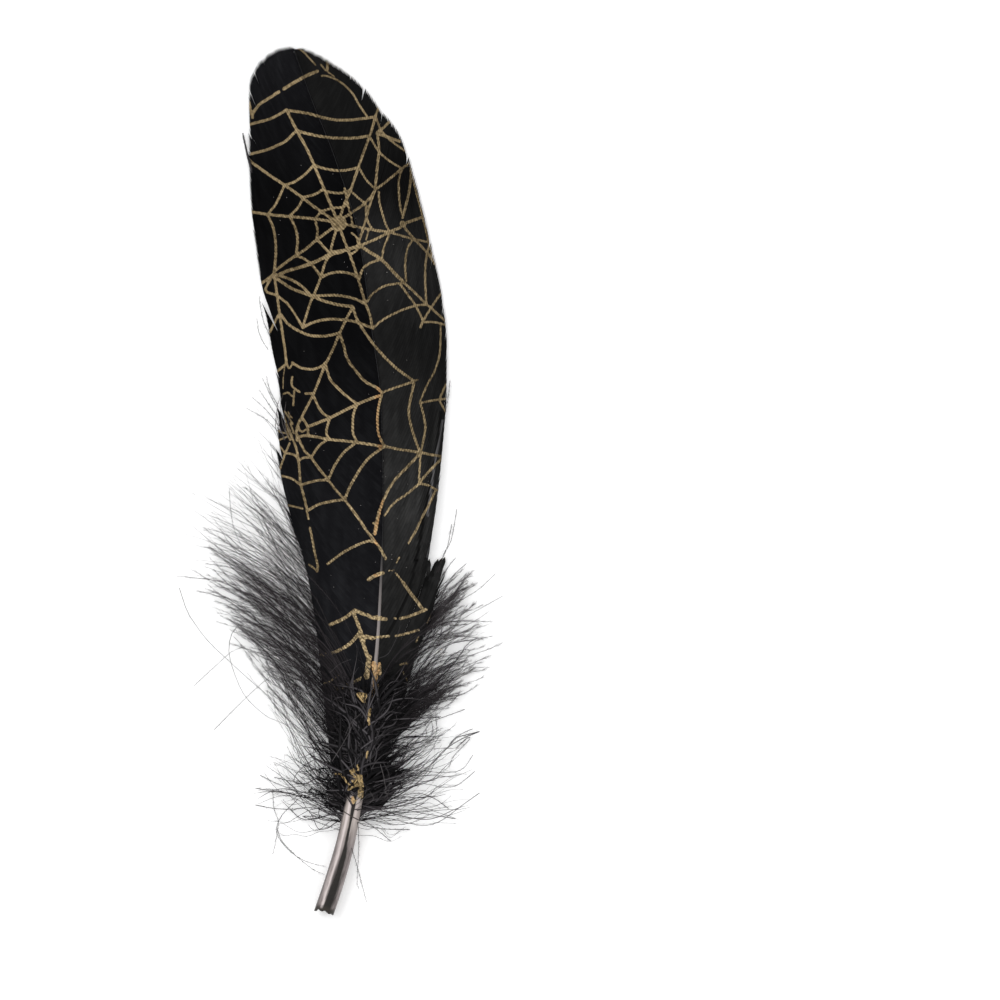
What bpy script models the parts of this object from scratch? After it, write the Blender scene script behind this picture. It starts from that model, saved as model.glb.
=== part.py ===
"""A painted goose feather, lying on its hollow side with the printed side up.

The feather grew as one piece, so it is one closed solid: the quill and its rachis, the two
vanes with their split edges, and the downy locks at the base, all fused together.

The frame is in metres, with +Z up and the feather's tip towards +Y. The origin is at the
middle of the feather's outline, on the surface that it rests on.
"""

import math

import bmesh
import bpy
import numpy as np

MM = 0.001

# Driving sizes, in millimetres.
# The shaft from its cut end to its tip: x, y, height of its top, width and depth.
SHAFT = (
    (-4.2, -82.2, 3.50, 3.80, 3.70),
    (-2.1, -75.9, 3.50, 3.75, 3.70),
    (-0.3, -69.2, 3.50, 3.55, 3.60),
    (1.1, -62.0, 3.60, 3.20, 3.10),
    (2.3, -57.0, 3.85, 2.60, 2.50),
    (3.9, -50.0, 4.30, 2.20, 2.20),
    (5.2, -39.3, 5.00, 1.90, 2.00),
    (6.2, -24.9, 5.80, 1.70, 1.75),
    (6.9, -4.4, 6.50, 1.45, 1.50),
    (6.7, 14.4, 6.80, 1.30, 1.30),
    (5.2, 29.1, 6.65, 1.15, 1.15),
    (2.6, 46.0, 5.80, 1.00, 0.95),
    (-2.2, 61.6, 4.30, 0.80, 0.75),
    (-6.2, 71.6, 2.90, 0.60, 0.60),
    (-9.9, 82.0, 1.30, 0.35, 0.40),
)

# Where barbs end: y where the barb leaves the shaft, then x and y of its end.
LEFT_BARBS = (
    (-61.0, -2.8, -54.3),
    (-54.5, -4.1, -42.9),
    (-46.9, -5.4, -31.5),
    (-39.7, -6.7, -21.5),
    (-34.2, -8.6, -13.1),
    (-29.8, -11.3, -4.9),
    (-21.9, -13.0, 6.5),
    (-11.6, -12.8, 16.9),
    (0.6, -14.9, 32.1),
    (9.3, -16.8, 41.2),
    (20.1, -18.3, 54.9),
    (28.3, -18.5, 62.5),
    (36.3, -18.5, 69.2),
    (43.5, -18.1, 74.3),
    (52.1, -16.6, 78.1),
    (61.6, -14.3, 80.6),
    (72.8, -12.3, 82.1),
    (81.5, -10.5, 82.7),
)
RIGHT_BARBS = (
    (-61.9, 6.2, -56.8),
    (-54.0, 10.0, -45.8),
    (-48.3, 13.0, -35.3),
    (-44.6, 16.1, -26.4),
    (-42.8, 18.1, -19.8),
    (-41.4, 19.3, -14.6),
    (-40.1, 15.9, -15.4),
    (-37.6, 16.4, -11.6),
    (-32.5, 17.6, -2.5),
    (-25.5, 18.7, 8.4),
    (-17.9, 19.3, 17.9),
    (-10.6, 19.3, 25.5),
    (1.3, 18.3, 35.5),
    (10.8, 16.6, 43.1),
    (22.2, 14.9, 50.7),
    (33.1, 12.6, 59.1),
    (41.6, 10.2, 65.9),
    (53.0, 6.6, 70.7),
    (61.6, 2.2, 75.4),
    (71.1, -2.0, 78.5),
    (76.8, -5.6, 80.8),
    (81.5, -8.1, 82.1),
)
BARB_ROWS = 75  # rows across both vanes: every second one is the groove between two bundles
ACROSS = (0.0, 0.25, 0.5, 0.7, 0.87, 1.0)  # places along a barb, from the shaft to its end
LEFT_BOW, RIGHT_BOW = 0.12, 0.10  # how far a barb bows towards the quill, as a share of its length
VANE_THICKNESS, EDGE_THICKNESS = 0.65, 0.40
VANE_BELOW_TOP = 0.35  # the vanes leave the shaft this far below its top
EDGE_HEIGHT = ((-62.0, 1.6), (-40.0, 0.9), (-16.0, 0.0), (74.0, 0.0), (83.0, 0.1))
BUNDLE_RIDGE = 0.14  # how far the middle of a bundle of barbs stands above its grooves
TOOTH = 0.7  # how far a groove stops short of the vane's edge
# Deeper splits between bundles: y on the shaft, and how far the groove opens.
LEFT_SPLITS = ((-22.0, 3.0), (-14.0, 4.5), (2.0, 3.0), (33.0, 2.0))
RIGHT_SPLITS = ((-40.5, 3.0), (36.0, 2.0), (56.0, 3.0), (66.0, 2.0))

# Downy locks: y where the lock leaves the shaft, x and y of its tip, and the tip's height.
LEFT_LOCKS = (
    (-28.0, -15.9, 18.6, 0.8),
    (-31.5, -16.2, 9.1, 0.7),
    (-33.4, -19.7, 10.6, 0.9),
    (-35.9, -25.6, 7.2, 0.6),
    (-38.2, -28.4, 2.7, 0.8),
    (-40.5, -29.9, -0.4, 0.5),
    (-42.0, -30.7, -5.3, 0.9),
    (-44.3, -32.2, -10.1, 0.6),
    (-46.7, -33.4, -15.0, 0.9),
    (-49.6, -32.2, -17.9, 0.5),
    (-54.3, -26.3, -19.6, 0.9),
    (-59.1, -23.0, -25.6, 0.5),
    (-61.5, -17.0, -40.1, 0.8),
    (-63.0, -16.5, -56.5, 0.5),
    (-65.0, -12.6, -65.7, 0.7),
)
RIGHT_LOCKS = (
    (-42.9, 20.8, -15.2, 0.9),
    (-45.8, 25.2, -17.7, 0.6),
    (-48.3, 27.1, -21.7, 1.0),
    (-49.6, 29.9, -22.2, 0.6),
    (-51.1, 33.2, -29.8, 0.8),
    (-52.6, 30.5, -31.4, 0.5),
    (-54.1, 26.5, -34.4, 1.0),
    (-55.7, 23.7, -38.6, 0.6),
    (-58.3, 22.7, -43.9, 0.9),
    (-60.4, 25.6, -48.1, 0.6),
    (-61.4, 24.7, -52.8, 1.0),
    (-62.9, 25.4, -59.7, 0.6),
    (-63.5, 21.2, -64.6, 0.9),
    (-65.0, 10.5, -69.3, 0.6),
)
LEFT_LOCK_COUNT, RIGHT_LOCK_COUNT = 29, 27
# Locks that lie over the base of the vanes, given as the others are.
TOP_LOCKS = (
    (-63.0, -2.0, -40.0, 6.4),
    (-62.0, 2.5, -31.0, 7.4),
    (-60.5, 8.0, -34.0, 7.2),
    (-61.0, 13.0, -42.0, 5.4),
)
LOCK_WIDTH = 1.7
LOCK_RINGS = 5
LOCK_BOW = 0.10
LOCK_LIFT = 2.6  # how far the middle of a lock stands above the straight line to its tip

# The open, cut end of the quill.
QUILL_WALL = 0.45
QUILL_BORE_DEPTH = 7.0
QUILL_RAGGED = 0.45

SHAFT_SIDES = 12
SHAFT_RINGS = 34


def smooth(knots, values, at):
    """Reads a smooth curve through the given values at a place, without overshooting them."""
    x = np.asarray(knots, float)
    y = np.asarray(values, float)
    rise = np.diff(y, axis=0) / np.diff(x)[:, None]
    slope = np.zeros_like(y)
    slope[0] = rise[0]
    slope[-1] = rise[-1]
    alike = rise[:-1] * rise[1:] > 0
    total = np.where(alike, rise[:-1] + rise[1:], 1.0)
    slope[1:-1] = np.where(alike, 2 * rise[:-1] * rise[1:] / total, 0.0)
    at = min(max(at, x[0]), x[-1])
    k = min(int(np.searchsorted(x, at, side="right")) - 1, len(x) - 2)
    width = x[k + 1] - x[k]
    t = (at - x[k]) / width
    return (
        (1 + 2 * t) * (1 - t) ** 2 * y[k]
        + t * (1 - t) ** 2 * width * slope[k]
        + t * t * (3 - 2 * t) * y[k + 1]
        + t * t * (t - 1) * width * slope[k + 1]
    )


def read_rows(rows, at):
    """Rows start with their knot. Returns the other columns, read at the place given."""
    return smooth([row[0] for row in rows], [row[1:] for row in rows], at)


def shaft_at(y):
    """x, y, height of the top, width and depth of the shaft at y."""
    x, top, width, depth = smooth(
        [row[1] for row in SHAFT], [(row[0], *row[2:]) for row in SHAFT], y
    )
    return x, y, top, width, depth


def bezier(start, middle, end, t):
    return start * (1 - t) ** 2 + middle * 2 * t * (1 - t) + end * t * t


def barb_point(y, rows, bow, share):
    """A point of the barb that leaves the shaft at y, a share of the way to its end."""
    x, _, top, _, _ = shaft_at(y)
    start = np.array((x, y))
    end = read_rows(rows, y)
    chord = end - start
    outward = np.array((chord[1], -chord[0])) * (1 if end[0] > x else -1)
    plan = bezier(start, start + chord / 2 + outward * bow, end, share)
    root = top - VANE_BELOW_TOP
    edge = read_rows(EDGE_HEIGHT, plan[1])[0] + EDGE_THICKNESS / 2
    return np.array((*plan, root + (edge - root) * share**1.8))


def groove_share(y, rows, splits, spacing):
    """How far along its barb a groove reaches before it opens into a gap."""
    x, *_ = shaft_at(y)
    length = np.linalg.norm(read_rows(rows, y) - np.array((x, y)))
    open_by = TOOTH
    for place, depth in splits:
        if abs(place - y) < spacing:
            open_by = depth
    return max(0.35, 1 - open_by / max(length, TOOTH * 2))


def vane_rows():
    """Middle points and thickness of the vanes' rows, each from its left end to its right."""
    low = max(LEFT_BARBS[0][0], RIGHT_BARBS[0][0])
    high = SHAFT[-1][1] - 0.6
    spacing = (high - low) / (BARB_ROWS - 1)
    for i in range(BARB_ROWS):
        y = low + spacing * i
        groove = i % 2
        left_reach = groove_share(y, LEFT_BARBS, LEFT_SPLITS, spacing) if groove else 1.0
        right_reach = groove_share(y, RIGHT_BARBS, RIGHT_SPLITS, spacing) if groove else 1.0
        row = [
            (barb_point(y, LEFT_BARBS, LEFT_BOW, left_reach * share), share)
            for share in ACROSS[:0:-1]
        ]
        row += [
            (barb_point(y, RIGHT_BARBS, RIGHT_BOW, right_reach * share), share)
            for share in ACROSS
        ]
        yield [
            (
                point + np.array((0, 0, BUNDLE_RIDGE * (0.5 - groove) * math.sin(math.pi * share))),
                VANE_THICKNESS + (EDGE_THICKNESS - VANE_THICKNESS) * share,
            )
            for point, share in row
        ]


def build_vanes():
    """Both vanes as one closed sheet that runs through the shaft."""
    mesh = bmesh.new()
    top, bottom = [], []
    for row in vane_rows():
        top_row, bottom_row = [], []
        for point, thickness in row:
            low = max(point[2] - thickness / 2, 0.0)
            high = max(point[2] + thickness / 2, low + thickness)
            top_row.append(mesh.verts.new(np.array((point[0], point[1], high)) * MM))
            bottom_row.append(mesh.verts.new(np.array((point[0], point[1], low)) * MM))
        top.append(top_row)
        bottom.append(bottom_row)
    last = len(top[0]) - 1
    for i in range(len(top) - 1):
        for j in range(last):
            mesh.faces.new((top[i][j], top[i][j + 1], top[i + 1][j + 1], top[i + 1][j]))
            mesh.faces.new((bottom[i][j], bottom[i + 1][j], bottom[i + 1][j + 1], bottom[i][j + 1]))
        for j, step in ((0, 1), (last, -1)):
            side = (top[i][j], top[i + 1][j], bottom[i + 1][j], bottom[i][j])
            mesh.faces.new(side[::step])
    for j in range(last):
        for i, step in ((0, 1), (-1, -1)):
            end = (top[i][j + 1], top[i][j], bottom[i][j], bottom[i][j + 1])
            mesh.faces.new(end[::step])
    return mesh


def build_shaft():
    """The quill and rachis. The quill is flattened a little where it rests."""
    mesh = bmesh.new()
    low, high = SHAFT[0][1], SHAFT[-1][1]
    rings = []
    for i in range(SHAFT_RINGS):
        y = low + (high - low) * (i / (SHAFT_RINGS - 1))
        x, _, top, width, depth = shaft_at(y)
        ahead, behind = shaft_at(y + 0.5), shaft_at(y - 0.5)
        along = np.array((ahead[0] - behind[0], ahead[1] - behind[1]))
        if not i:
            along = np.array((SHAFT[1][0] - SHAFT[0][0], SHAFT[1][1] - SHAFT[0][1]))
        along /= np.linalg.norm(along)
        ring = []
        for side in range(SHAFT_SIDES):
            angle = 2 * math.pi * (side + 0.5) / SHAFT_SIDES
            across = width / 2 * math.cos(angle)
            height = max(top - depth / 2 + depth / 2 * math.sin(angle), 0.0)
            ragged = QUILL_RAGGED * math.sin(3 * angle + 0.6) if not i else 0.0
            place = (
                x + along[1] * across + along[0] * ragged,
                y - along[0] * across + along[1] * ragged,
                height,
            )
            ring.append(mesh.verts.new(np.array(place) * MM))
        rings.append(ring)
    for ring, following in zip(rings, rings[1:]):
        for side in range(SHAFT_SIDES):
            after = (side + 1) % SHAFT_SIDES
            mesh.faces.new((ring[after], ring[side], following[side], following[after]))
    for ring, step in ((rings[0], 1), (rings[-1], -1)):
        middle = mesh.verts.new(sum((vert.co for vert in ring), ring[0].co * 0) / SHAFT_SIDES)
        for side in range(SHAFT_SIDES):
            corners = (ring[side], ring[(side + 1) % SHAFT_SIDES], middle)
            mesh.faces.new(corners[::step])
    return mesh


def lock_points(root_y, tip, bow):
    """Middle points of a lock, from inside the shaft to its tip."""
    x, _, top, _, depth = shaft_at(root_y)
    start = np.array((x, root_y, top - depth * 0.45))
    chord = tip - start
    side = 1 if chord[0] > 0 else -1
    outward = np.array((chord[1], -chord[0], 0.0)) * side * bow
    middle = start + chord / 2 + outward + np.array((0, 0, LOCK_LIFT))
    return [bezier(start, middle, tip, t) for t in np.linspace(0, 1, LOCK_RINGS + 1)]


def build_lock(root_y, tip, bow, width):
    """One downy lock: a four-sided spindle that runs out to a point."""
    mesh = bmesh.new()
    points = lock_points(root_y, tip, bow)
    rings = []
    for k, point in enumerate(points[:-1]):
        along = points[k + 1] - points[max(k - 1, 0)]
        across = np.array((along[1], -along[0], 0.0))
        across /= np.linalg.norm(across)
        reach = k / LOCK_RINGS
        half = width / 2 * (0.45 + 0.55 * math.sin(math.pi * min(0.15 + reach * 0.85, 1)))
        low = max(point[2] - half * 0.6, 0.06)
        corners = (
            (point[0] + across[0] * half, point[1] + across[1] * half, max(point[2], low + 0.1)),
            (point[0], point[1], point[2] + half * 0.6),
            (point[0] - across[0] * half, point[1] - across[1] * half, max(point[2], low + 0.1)),
            (point[0], point[1], low),
        )
        rings.append([mesh.verts.new(np.array(corner) * MM) for corner in corners])
    for ring, following in zip(rings, rings[1:]):
        for side in range(4):
            after = (side + 1) % 4
            mesh.faces.new((ring[side], ring[after], following[after], following[side]))
    mesh.faces.new(rings[0][::-1])
    tip_vert = mesh.verts.new(points[-1] * MM)
    for side in range(4):
        mesh.faces.new((rings[-1][side], rings[-1][(side + 1) % 4], tip_vert))
    return mesh


def locks():
    """Root, tip, bow and width of every lock."""
    for rows, count in ((LEFT_LOCKS, LEFT_LOCK_COUNT), (RIGHT_LOCKS, RIGHT_LOCK_COUNT)):
        for i in range(count):
            place = (len(rows) - 1) * i / (count - 1)
            root, *tip = smooth(range(len(rows)), rows, place)
            tip = np.array(tip)
            if place != int(place):
                x, *_ = shaft_at(root)
                tip[:2] += (np.array((x, root)) - tip[:2]) * 0.12
            yield root, tip, LOCK_BOW * math.cos(2.1 * i) * 0.6 + 0.03, LOCK_WIDTH
    for root, *tip in TOP_LOCKS:
        yield root, np.array(tip), 0.05, LOCK_WIDTH * 0.9


def build_bore():
    """The space inside the quill's open end, as a cutter that runs out past the end."""
    mesh = bmesh.new()
    sides = SHAFT_SIDES
    stations = (-3.0, 0.0, QUILL_BORE_DEPTH * 0.7, QUILL_BORE_DEPTH)
    shares = (1.0, 1.0, 0.85, 0.35)
    start = np.array(SHAFT[0][:2])
    along = np.array(SHAFT[1][:2]) - start
    along /= np.linalg.norm(along)
    rings = []
    for station, share in zip(stations, shares):
        x, y = start + along * station
        _, _, top, width, depth = shaft_at(y)
        middle = (top + max(top - depth, 0.0)) / 2
        ring = []
        for side in range(sides):
            angle = 2 * math.pi * (side + 0.5) / sides
            across = (width / 2 - QUILL_WALL) * share * math.cos(angle)
            rise = ((top - max(top - depth, 0.0)) / 2 - QUILL_WALL) * share * math.sin(angle)
            place = (x + along[1] * across, y - along[0] * across, middle + rise)
            ring.append(mesh.verts.new(np.array(place) * MM))
        rings.append(ring)
    for ring, following in zip(rings, rings[1:]):
        for side in range(sides):
            after = (side + 1) % sides
            mesh.faces.new((ring[after], ring[side], following[side], following[after]))
    mesh.faces.new(rings[0])
    mesh.faces.new(rings[-1][::-1])
    return mesh


def as_object(name, mesh_in_work, collection):
    """Makes a closed mesh into an object with its faces pointing out."""
    bmesh.ops.recalc_face_normals(mesh_in_work, faces=mesh_in_work.faces)
    mesh = bpy.data.meshes.new(name)
    mesh_in_work.to_mesh(mesh)
    mesh_in_work.free()
    made = bpy.data.objects.new(name, mesh)
    collection.objects.link(made)
    return made


def helper_collection(name):
    made = bpy.data.collections.new(name)
    bpy.context.scene.collection.children.link(made)
    return made


def hide(helper):
    helper.hide_render = True
    helper.display_type = "WIRE"


def add_boolean(target, operation, collection):
    change = target.modifiers.new(operation.title(), "BOOLEAN")
    change.operation = operation
    change.solver = "EXACT"
    change.operand_type = "COLLECTION"
    change.collection = collection


def largest_island(mesh_in_work):
    """Keeps the outer skin and drops the pockets that are closed in between the locks."""
    left = set(mesh_in_work.verts)
    islands = []
    while left:
        island = set()
        edge_of_island = [left.pop()]
        while edge_of_island:
            vert = edge_of_island.pop()
            island.add(vert)
            for edge in vert.link_edges:
                other = edge.other_vert(vert)
                if other in left:
                    left.remove(other)
                    edge_of_island.append(other)
        islands.append(island)
    islands.sort(key=len, reverse=True)
    for island in islands[1:]:
        bmesh.ops.delete(mesh_in_work, geom=list(island), context="VERTS")


def fused(target):
    """Applies the Booleans of an object and keeps its outer skin."""
    evaluated = target.evaluated_get(bpy.context.evaluated_depsgraph_get())
    mesh_in_work = bmesh.new()
    mesh_in_work.from_mesh(evaluated.to_mesh())
    evaluated.to_mesh_clear()
    largest_island(mesh_in_work)
    target.modifiers.clear()
    mesh_in_work.to_mesh(target.data)
    mesh_in_work.free()


def feather_material():
    """Near-black barbs with the soft gloss of keratin."""
    made = bpy.data.materials.new("feather")
    made.use_nodes = True
    shader = made.node_tree.nodes["Principled BSDF"]
    shader.inputs["Base Color"].default_value = (0.012, 0.012, 0.014, 1)
    shader.inputs["Roughness"].default_value = 0.6
    shader.inputs["Metallic"].default_value = 0.0
    return made


def main():
    for old in list(bpy.data.objects):
        bpy.data.objects.remove(old)
    feather = as_object("feather", build_shaft(), bpy.context.scene.collection)
    grown = helper_collection("grown from the shaft")
    hide(as_object("vanes", build_vanes(), grown))
    for number, lock in enumerate(locks()):
        hide(as_object(f"lock {number}", build_lock(*lock), grown))
    hollow = helper_collection("inside the quill")
    hide(as_object("bore", build_bore(), hollow))
    add_boolean(feather, "UNION", grown)
    add_boolean(feather, "DIFFERENCE", hollow)
    fused(feather)
    feather.data.materials.append(feather_material())
    feather.data.shade_smooth()
    feather.data.set_sharp_from_angle(angle=math.radians(40))


main()
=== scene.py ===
# %% [markdown]
# # A black goose feather with gold cobwebs printed on it
#
# The feather is about 166 mm long and lies on its hollow side. Everything here is swept
# from curves with numpy: each barb of the vanes, each strand of the down and the quill are
# tubes along a line, so one helper makes them all. The solid in model.glb gives the sizes,
# and the pieces below stand in its place.

import math

import bpy
import numpy as np
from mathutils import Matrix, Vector


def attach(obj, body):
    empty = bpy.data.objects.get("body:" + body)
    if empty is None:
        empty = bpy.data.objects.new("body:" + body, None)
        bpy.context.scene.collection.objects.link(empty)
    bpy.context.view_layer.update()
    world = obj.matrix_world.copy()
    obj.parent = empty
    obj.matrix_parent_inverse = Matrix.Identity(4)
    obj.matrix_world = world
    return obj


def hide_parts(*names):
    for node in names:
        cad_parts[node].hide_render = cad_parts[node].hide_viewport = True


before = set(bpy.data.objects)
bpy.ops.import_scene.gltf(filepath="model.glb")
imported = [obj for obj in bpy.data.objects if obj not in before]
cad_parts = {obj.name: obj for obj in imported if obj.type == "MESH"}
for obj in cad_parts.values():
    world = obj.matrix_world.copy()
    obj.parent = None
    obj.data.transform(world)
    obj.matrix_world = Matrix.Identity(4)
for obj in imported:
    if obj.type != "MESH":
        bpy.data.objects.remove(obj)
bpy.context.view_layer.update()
MM = 0.001
print("nodes:", sorted(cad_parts))

# %% [markdown]
# ## The sizes
#
# A feather has three lines that settle its shape: the shaft, and the two margins where the
# barbs end. Each barb is known by where it leaves the shaft and where its tip is. The same
# numbers drive the solid. All are millimetres, with the tip of the feather towards +Y.

# %% Sizes of the feather
# The shaft from its cut end to its tip: x, y, height of its top, width and depth.
SHAFT = (
    (-4.0, -82.2, 3.50, 3.80, 3.70),
    (-1.9, -75.9, 3.50, 3.75, 3.70),
    (0.0, -69.2, 3.50, 3.55, 3.60),
    (1.5, -62.0, 3.60, 3.20, 3.10),
    (2.6, -57.0, 3.85, 2.60, 2.50),
    (4.1, -50.0, 4.30, 2.20, 2.20),
    (5.4, -39.3, 5.00, 1.90, 2.00),
    (6.55, -24.9, 5.80, 1.70, 1.75),
    (7.25, -4.4, 6.50, 1.45, 1.50),
    (6.85, 14.4, 6.80, 1.30, 1.30),
    (5.0, 29.1, 6.65, 1.15, 1.15),
    (2.6, 46.0, 5.80, 1.00, 0.95),
    (-2.2, 61.6, 4.30, 0.80, 0.75),
    (-6.2, 71.6, 2.90, 0.60, 0.60),
    (-9.9, 82.0, 1.30, 0.35, 0.40),
)
# Where barbs end: y where the barb leaves the shaft, then x and y of its end.
LEFT_BARBS = (
    (-61.0, -2.8, -54.3),
    (-54.5, -4.1, -42.9),
    (-46.9, -5.4, -31.5),
    (-39.7, -6.7, -21.5),
    (-34.2, -8.6, -13.1),
    (-29.8, -11.3, -4.9),
    (-21.9, -13.0, 6.5),
    (-11.6, -12.8, 16.9),
    (-5.4, -14.1, 24.6),
    (0.6, -15.3, 32.1),
    (9.3, -16.8, 41.2),
    (20.1, -18.3, 54.9),
    (28.3, -18.5, 62.5),
    (36.3, -18.5, 69.2),
    (43.5, -18.5, 74.8),
    (52.1, -17.3, 78.6),
    (61.6, -14.9, 81.1),
    (72.8, -12.5, 82.4),
    (81.5, -10.5, 82.6),
)
RIGHT_BARBS = (
    (-61.9, 6.2, -56.8),
    (-54.0, 10.0, -45.8),
    (-48.3, 13.0, -35.3),
    (-44.6, 16.1, -26.4),
    (-42.8, 18.1, -19.8),
    (-41.4, 19.3, -14.6),
    (-40.1, 15.9, -15.4),
    (-37.6, 16.4, -11.6),
    (-32.5, 17.6, -2.5),
    (-25.5, 18.7, 8.4),
    (-17.9, 19.3, 17.9),
    (-10.6, 19.3, 25.5),
    (1.3, 18.3, 35.5),
    (10.8, 16.6, 43.1),
    (22.2, 14.9, 50.7),
    (33.1, 12.6, 59.1),
    (41.6, 10.2, 65.9),
    (53.0, 6.6, 70.7),
    (61.6, 2.5, 75.8),
    (71.1, -1.7, 79.0),
    (76.8, -5.3, 81.2),
    (81.5, -8.0, 82.3),
)
LEFT_BOW, RIGHT_BOW = 0.12, 0.10  # how far a barb bows towards the quill, by its length
VANE_BELOW_TOP = 0.35  # the vanes leave the shaft this far below its top
EDGE_HALF = 0.20
EDGE_HEIGHT = ((-62.0, 1.6), (-40.0, 0.9), (-16.0, 0.0), (74.0, 0.0), (83.0, 0.1))
print("rows:", len(SHAFT), "of shaft,", len(LEFT_BARBS), "left and", len(RIGHT_BARBS), "right")

# %% [markdown]
# ## Reading a smooth curve through the sizes
#
# A grown thing has no corners, so between two measured rows the value follows a smooth
# curve that never overshoots them. Each barb is a quadratic curve in plan that bows towards
# the quill, and it droops from the shaft to the margin, which makes the hollow side.

# %% Curves


def smooth(knots, values, at):
    """Reads a smooth curve through the values at each place, without overshooting them."""
    x = np.asarray(knots, float)
    y = np.asarray(values, float)
    rise = np.diff(y, axis=0) / np.diff(x)[:, None]
    slope = np.zeros_like(y)
    slope[0] = rise[0]
    slope[-1] = rise[-1]
    alike = rise[:-1] * rise[1:] > 0
    total = np.where(alike, rise[:-1] + rise[1:], 1.0)
    slope[1:-1] = np.where(alike, 2 * rise[:-1] * rise[1:] / total, 0.0)
    at = np.clip(at, x[0], x[-1])
    k = np.clip(np.searchsorted(x, at, side="right") - 1, 0, len(x) - 2)
    width = (x[k + 1] - x[k])[..., None]
    t = (at - x[k])[..., None] / width
    return (
        (1 + 2 * t) * (1 - t) ** 2 * y[k]
        + t * (1 - t) ** 2 * width * slope[k]
        + t * t * (3 - 2 * t) * y[k + 1]
        + t * t * (t - 1) * width * slope[k + 1]
    )


def read_rows(rows, at):
    """Rows start with their knot. Returns the other columns, read at each place."""
    return smooth([row[0] for row in rows], [row[1:] for row in rows], at)


def shaft_at(y):
    """x, height of the top, width and depth of the shaft at each y."""
    found = smooth([row[1] for row in SHAFT], [(row[0], *row[2:]) for row in SHAFT], y)
    return np.moveaxis(found, -1, 0)


def bezier(start, middle, end, t):
    return start * (1 - t) ** 2 + middle * 2 * t * (1 - t) + end * t * t


def barb_points(roots, rows, bow, shares):
    """Points of the barbs that leave the shaft at roots, at these shares of their way."""
    x, top, _, _ = shaft_at(roots)
    start = np.stack((x, roots), axis=-1)
    end = read_rows(rows, roots)
    chord = end - start
    side = np.sign(chord[:, :1])
    outward = np.stack((chord[:, 1], -chord[:, 0]), axis=-1) * side * bow
    middle = start + chord / 2 + outward
    plan = bezier(start[:, None], middle[:, None], end[:, None], shares[..., None])
    root_height = (top - VANE_BELOW_TOP)[:, None]
    edge_height = read_rows(EDGE_HEIGHT, plan[..., 1])[..., 0] + EDGE_HALF
    height = root_height + (edge_height - root_height) * shares**1.8
    return np.concatenate((plan, height[..., None]), axis=-1)


def ease(low, high, at):
    """Goes smoothly from 0 at low to 1 at high."""
    t = np.clip((at - low) / (high - low), 0, 1)
    return t * t * (3 - 2 * t)


print("shaft at its middle:", np.round(shaft_at(np.array(0.0)), 2))

# %% [markdown]
# ## The printed threads
#
# The gold is printed on the top of the feather: cobwebs drawn with thick, slightly wobbly
# lines that break off at the margins. Each thread is listed as half its width and the
# points it runs through. A vertex later learns how far it is inside the nearest thread,
# and the gold's shader turns that distance into a crisp edge at any zoom.

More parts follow.
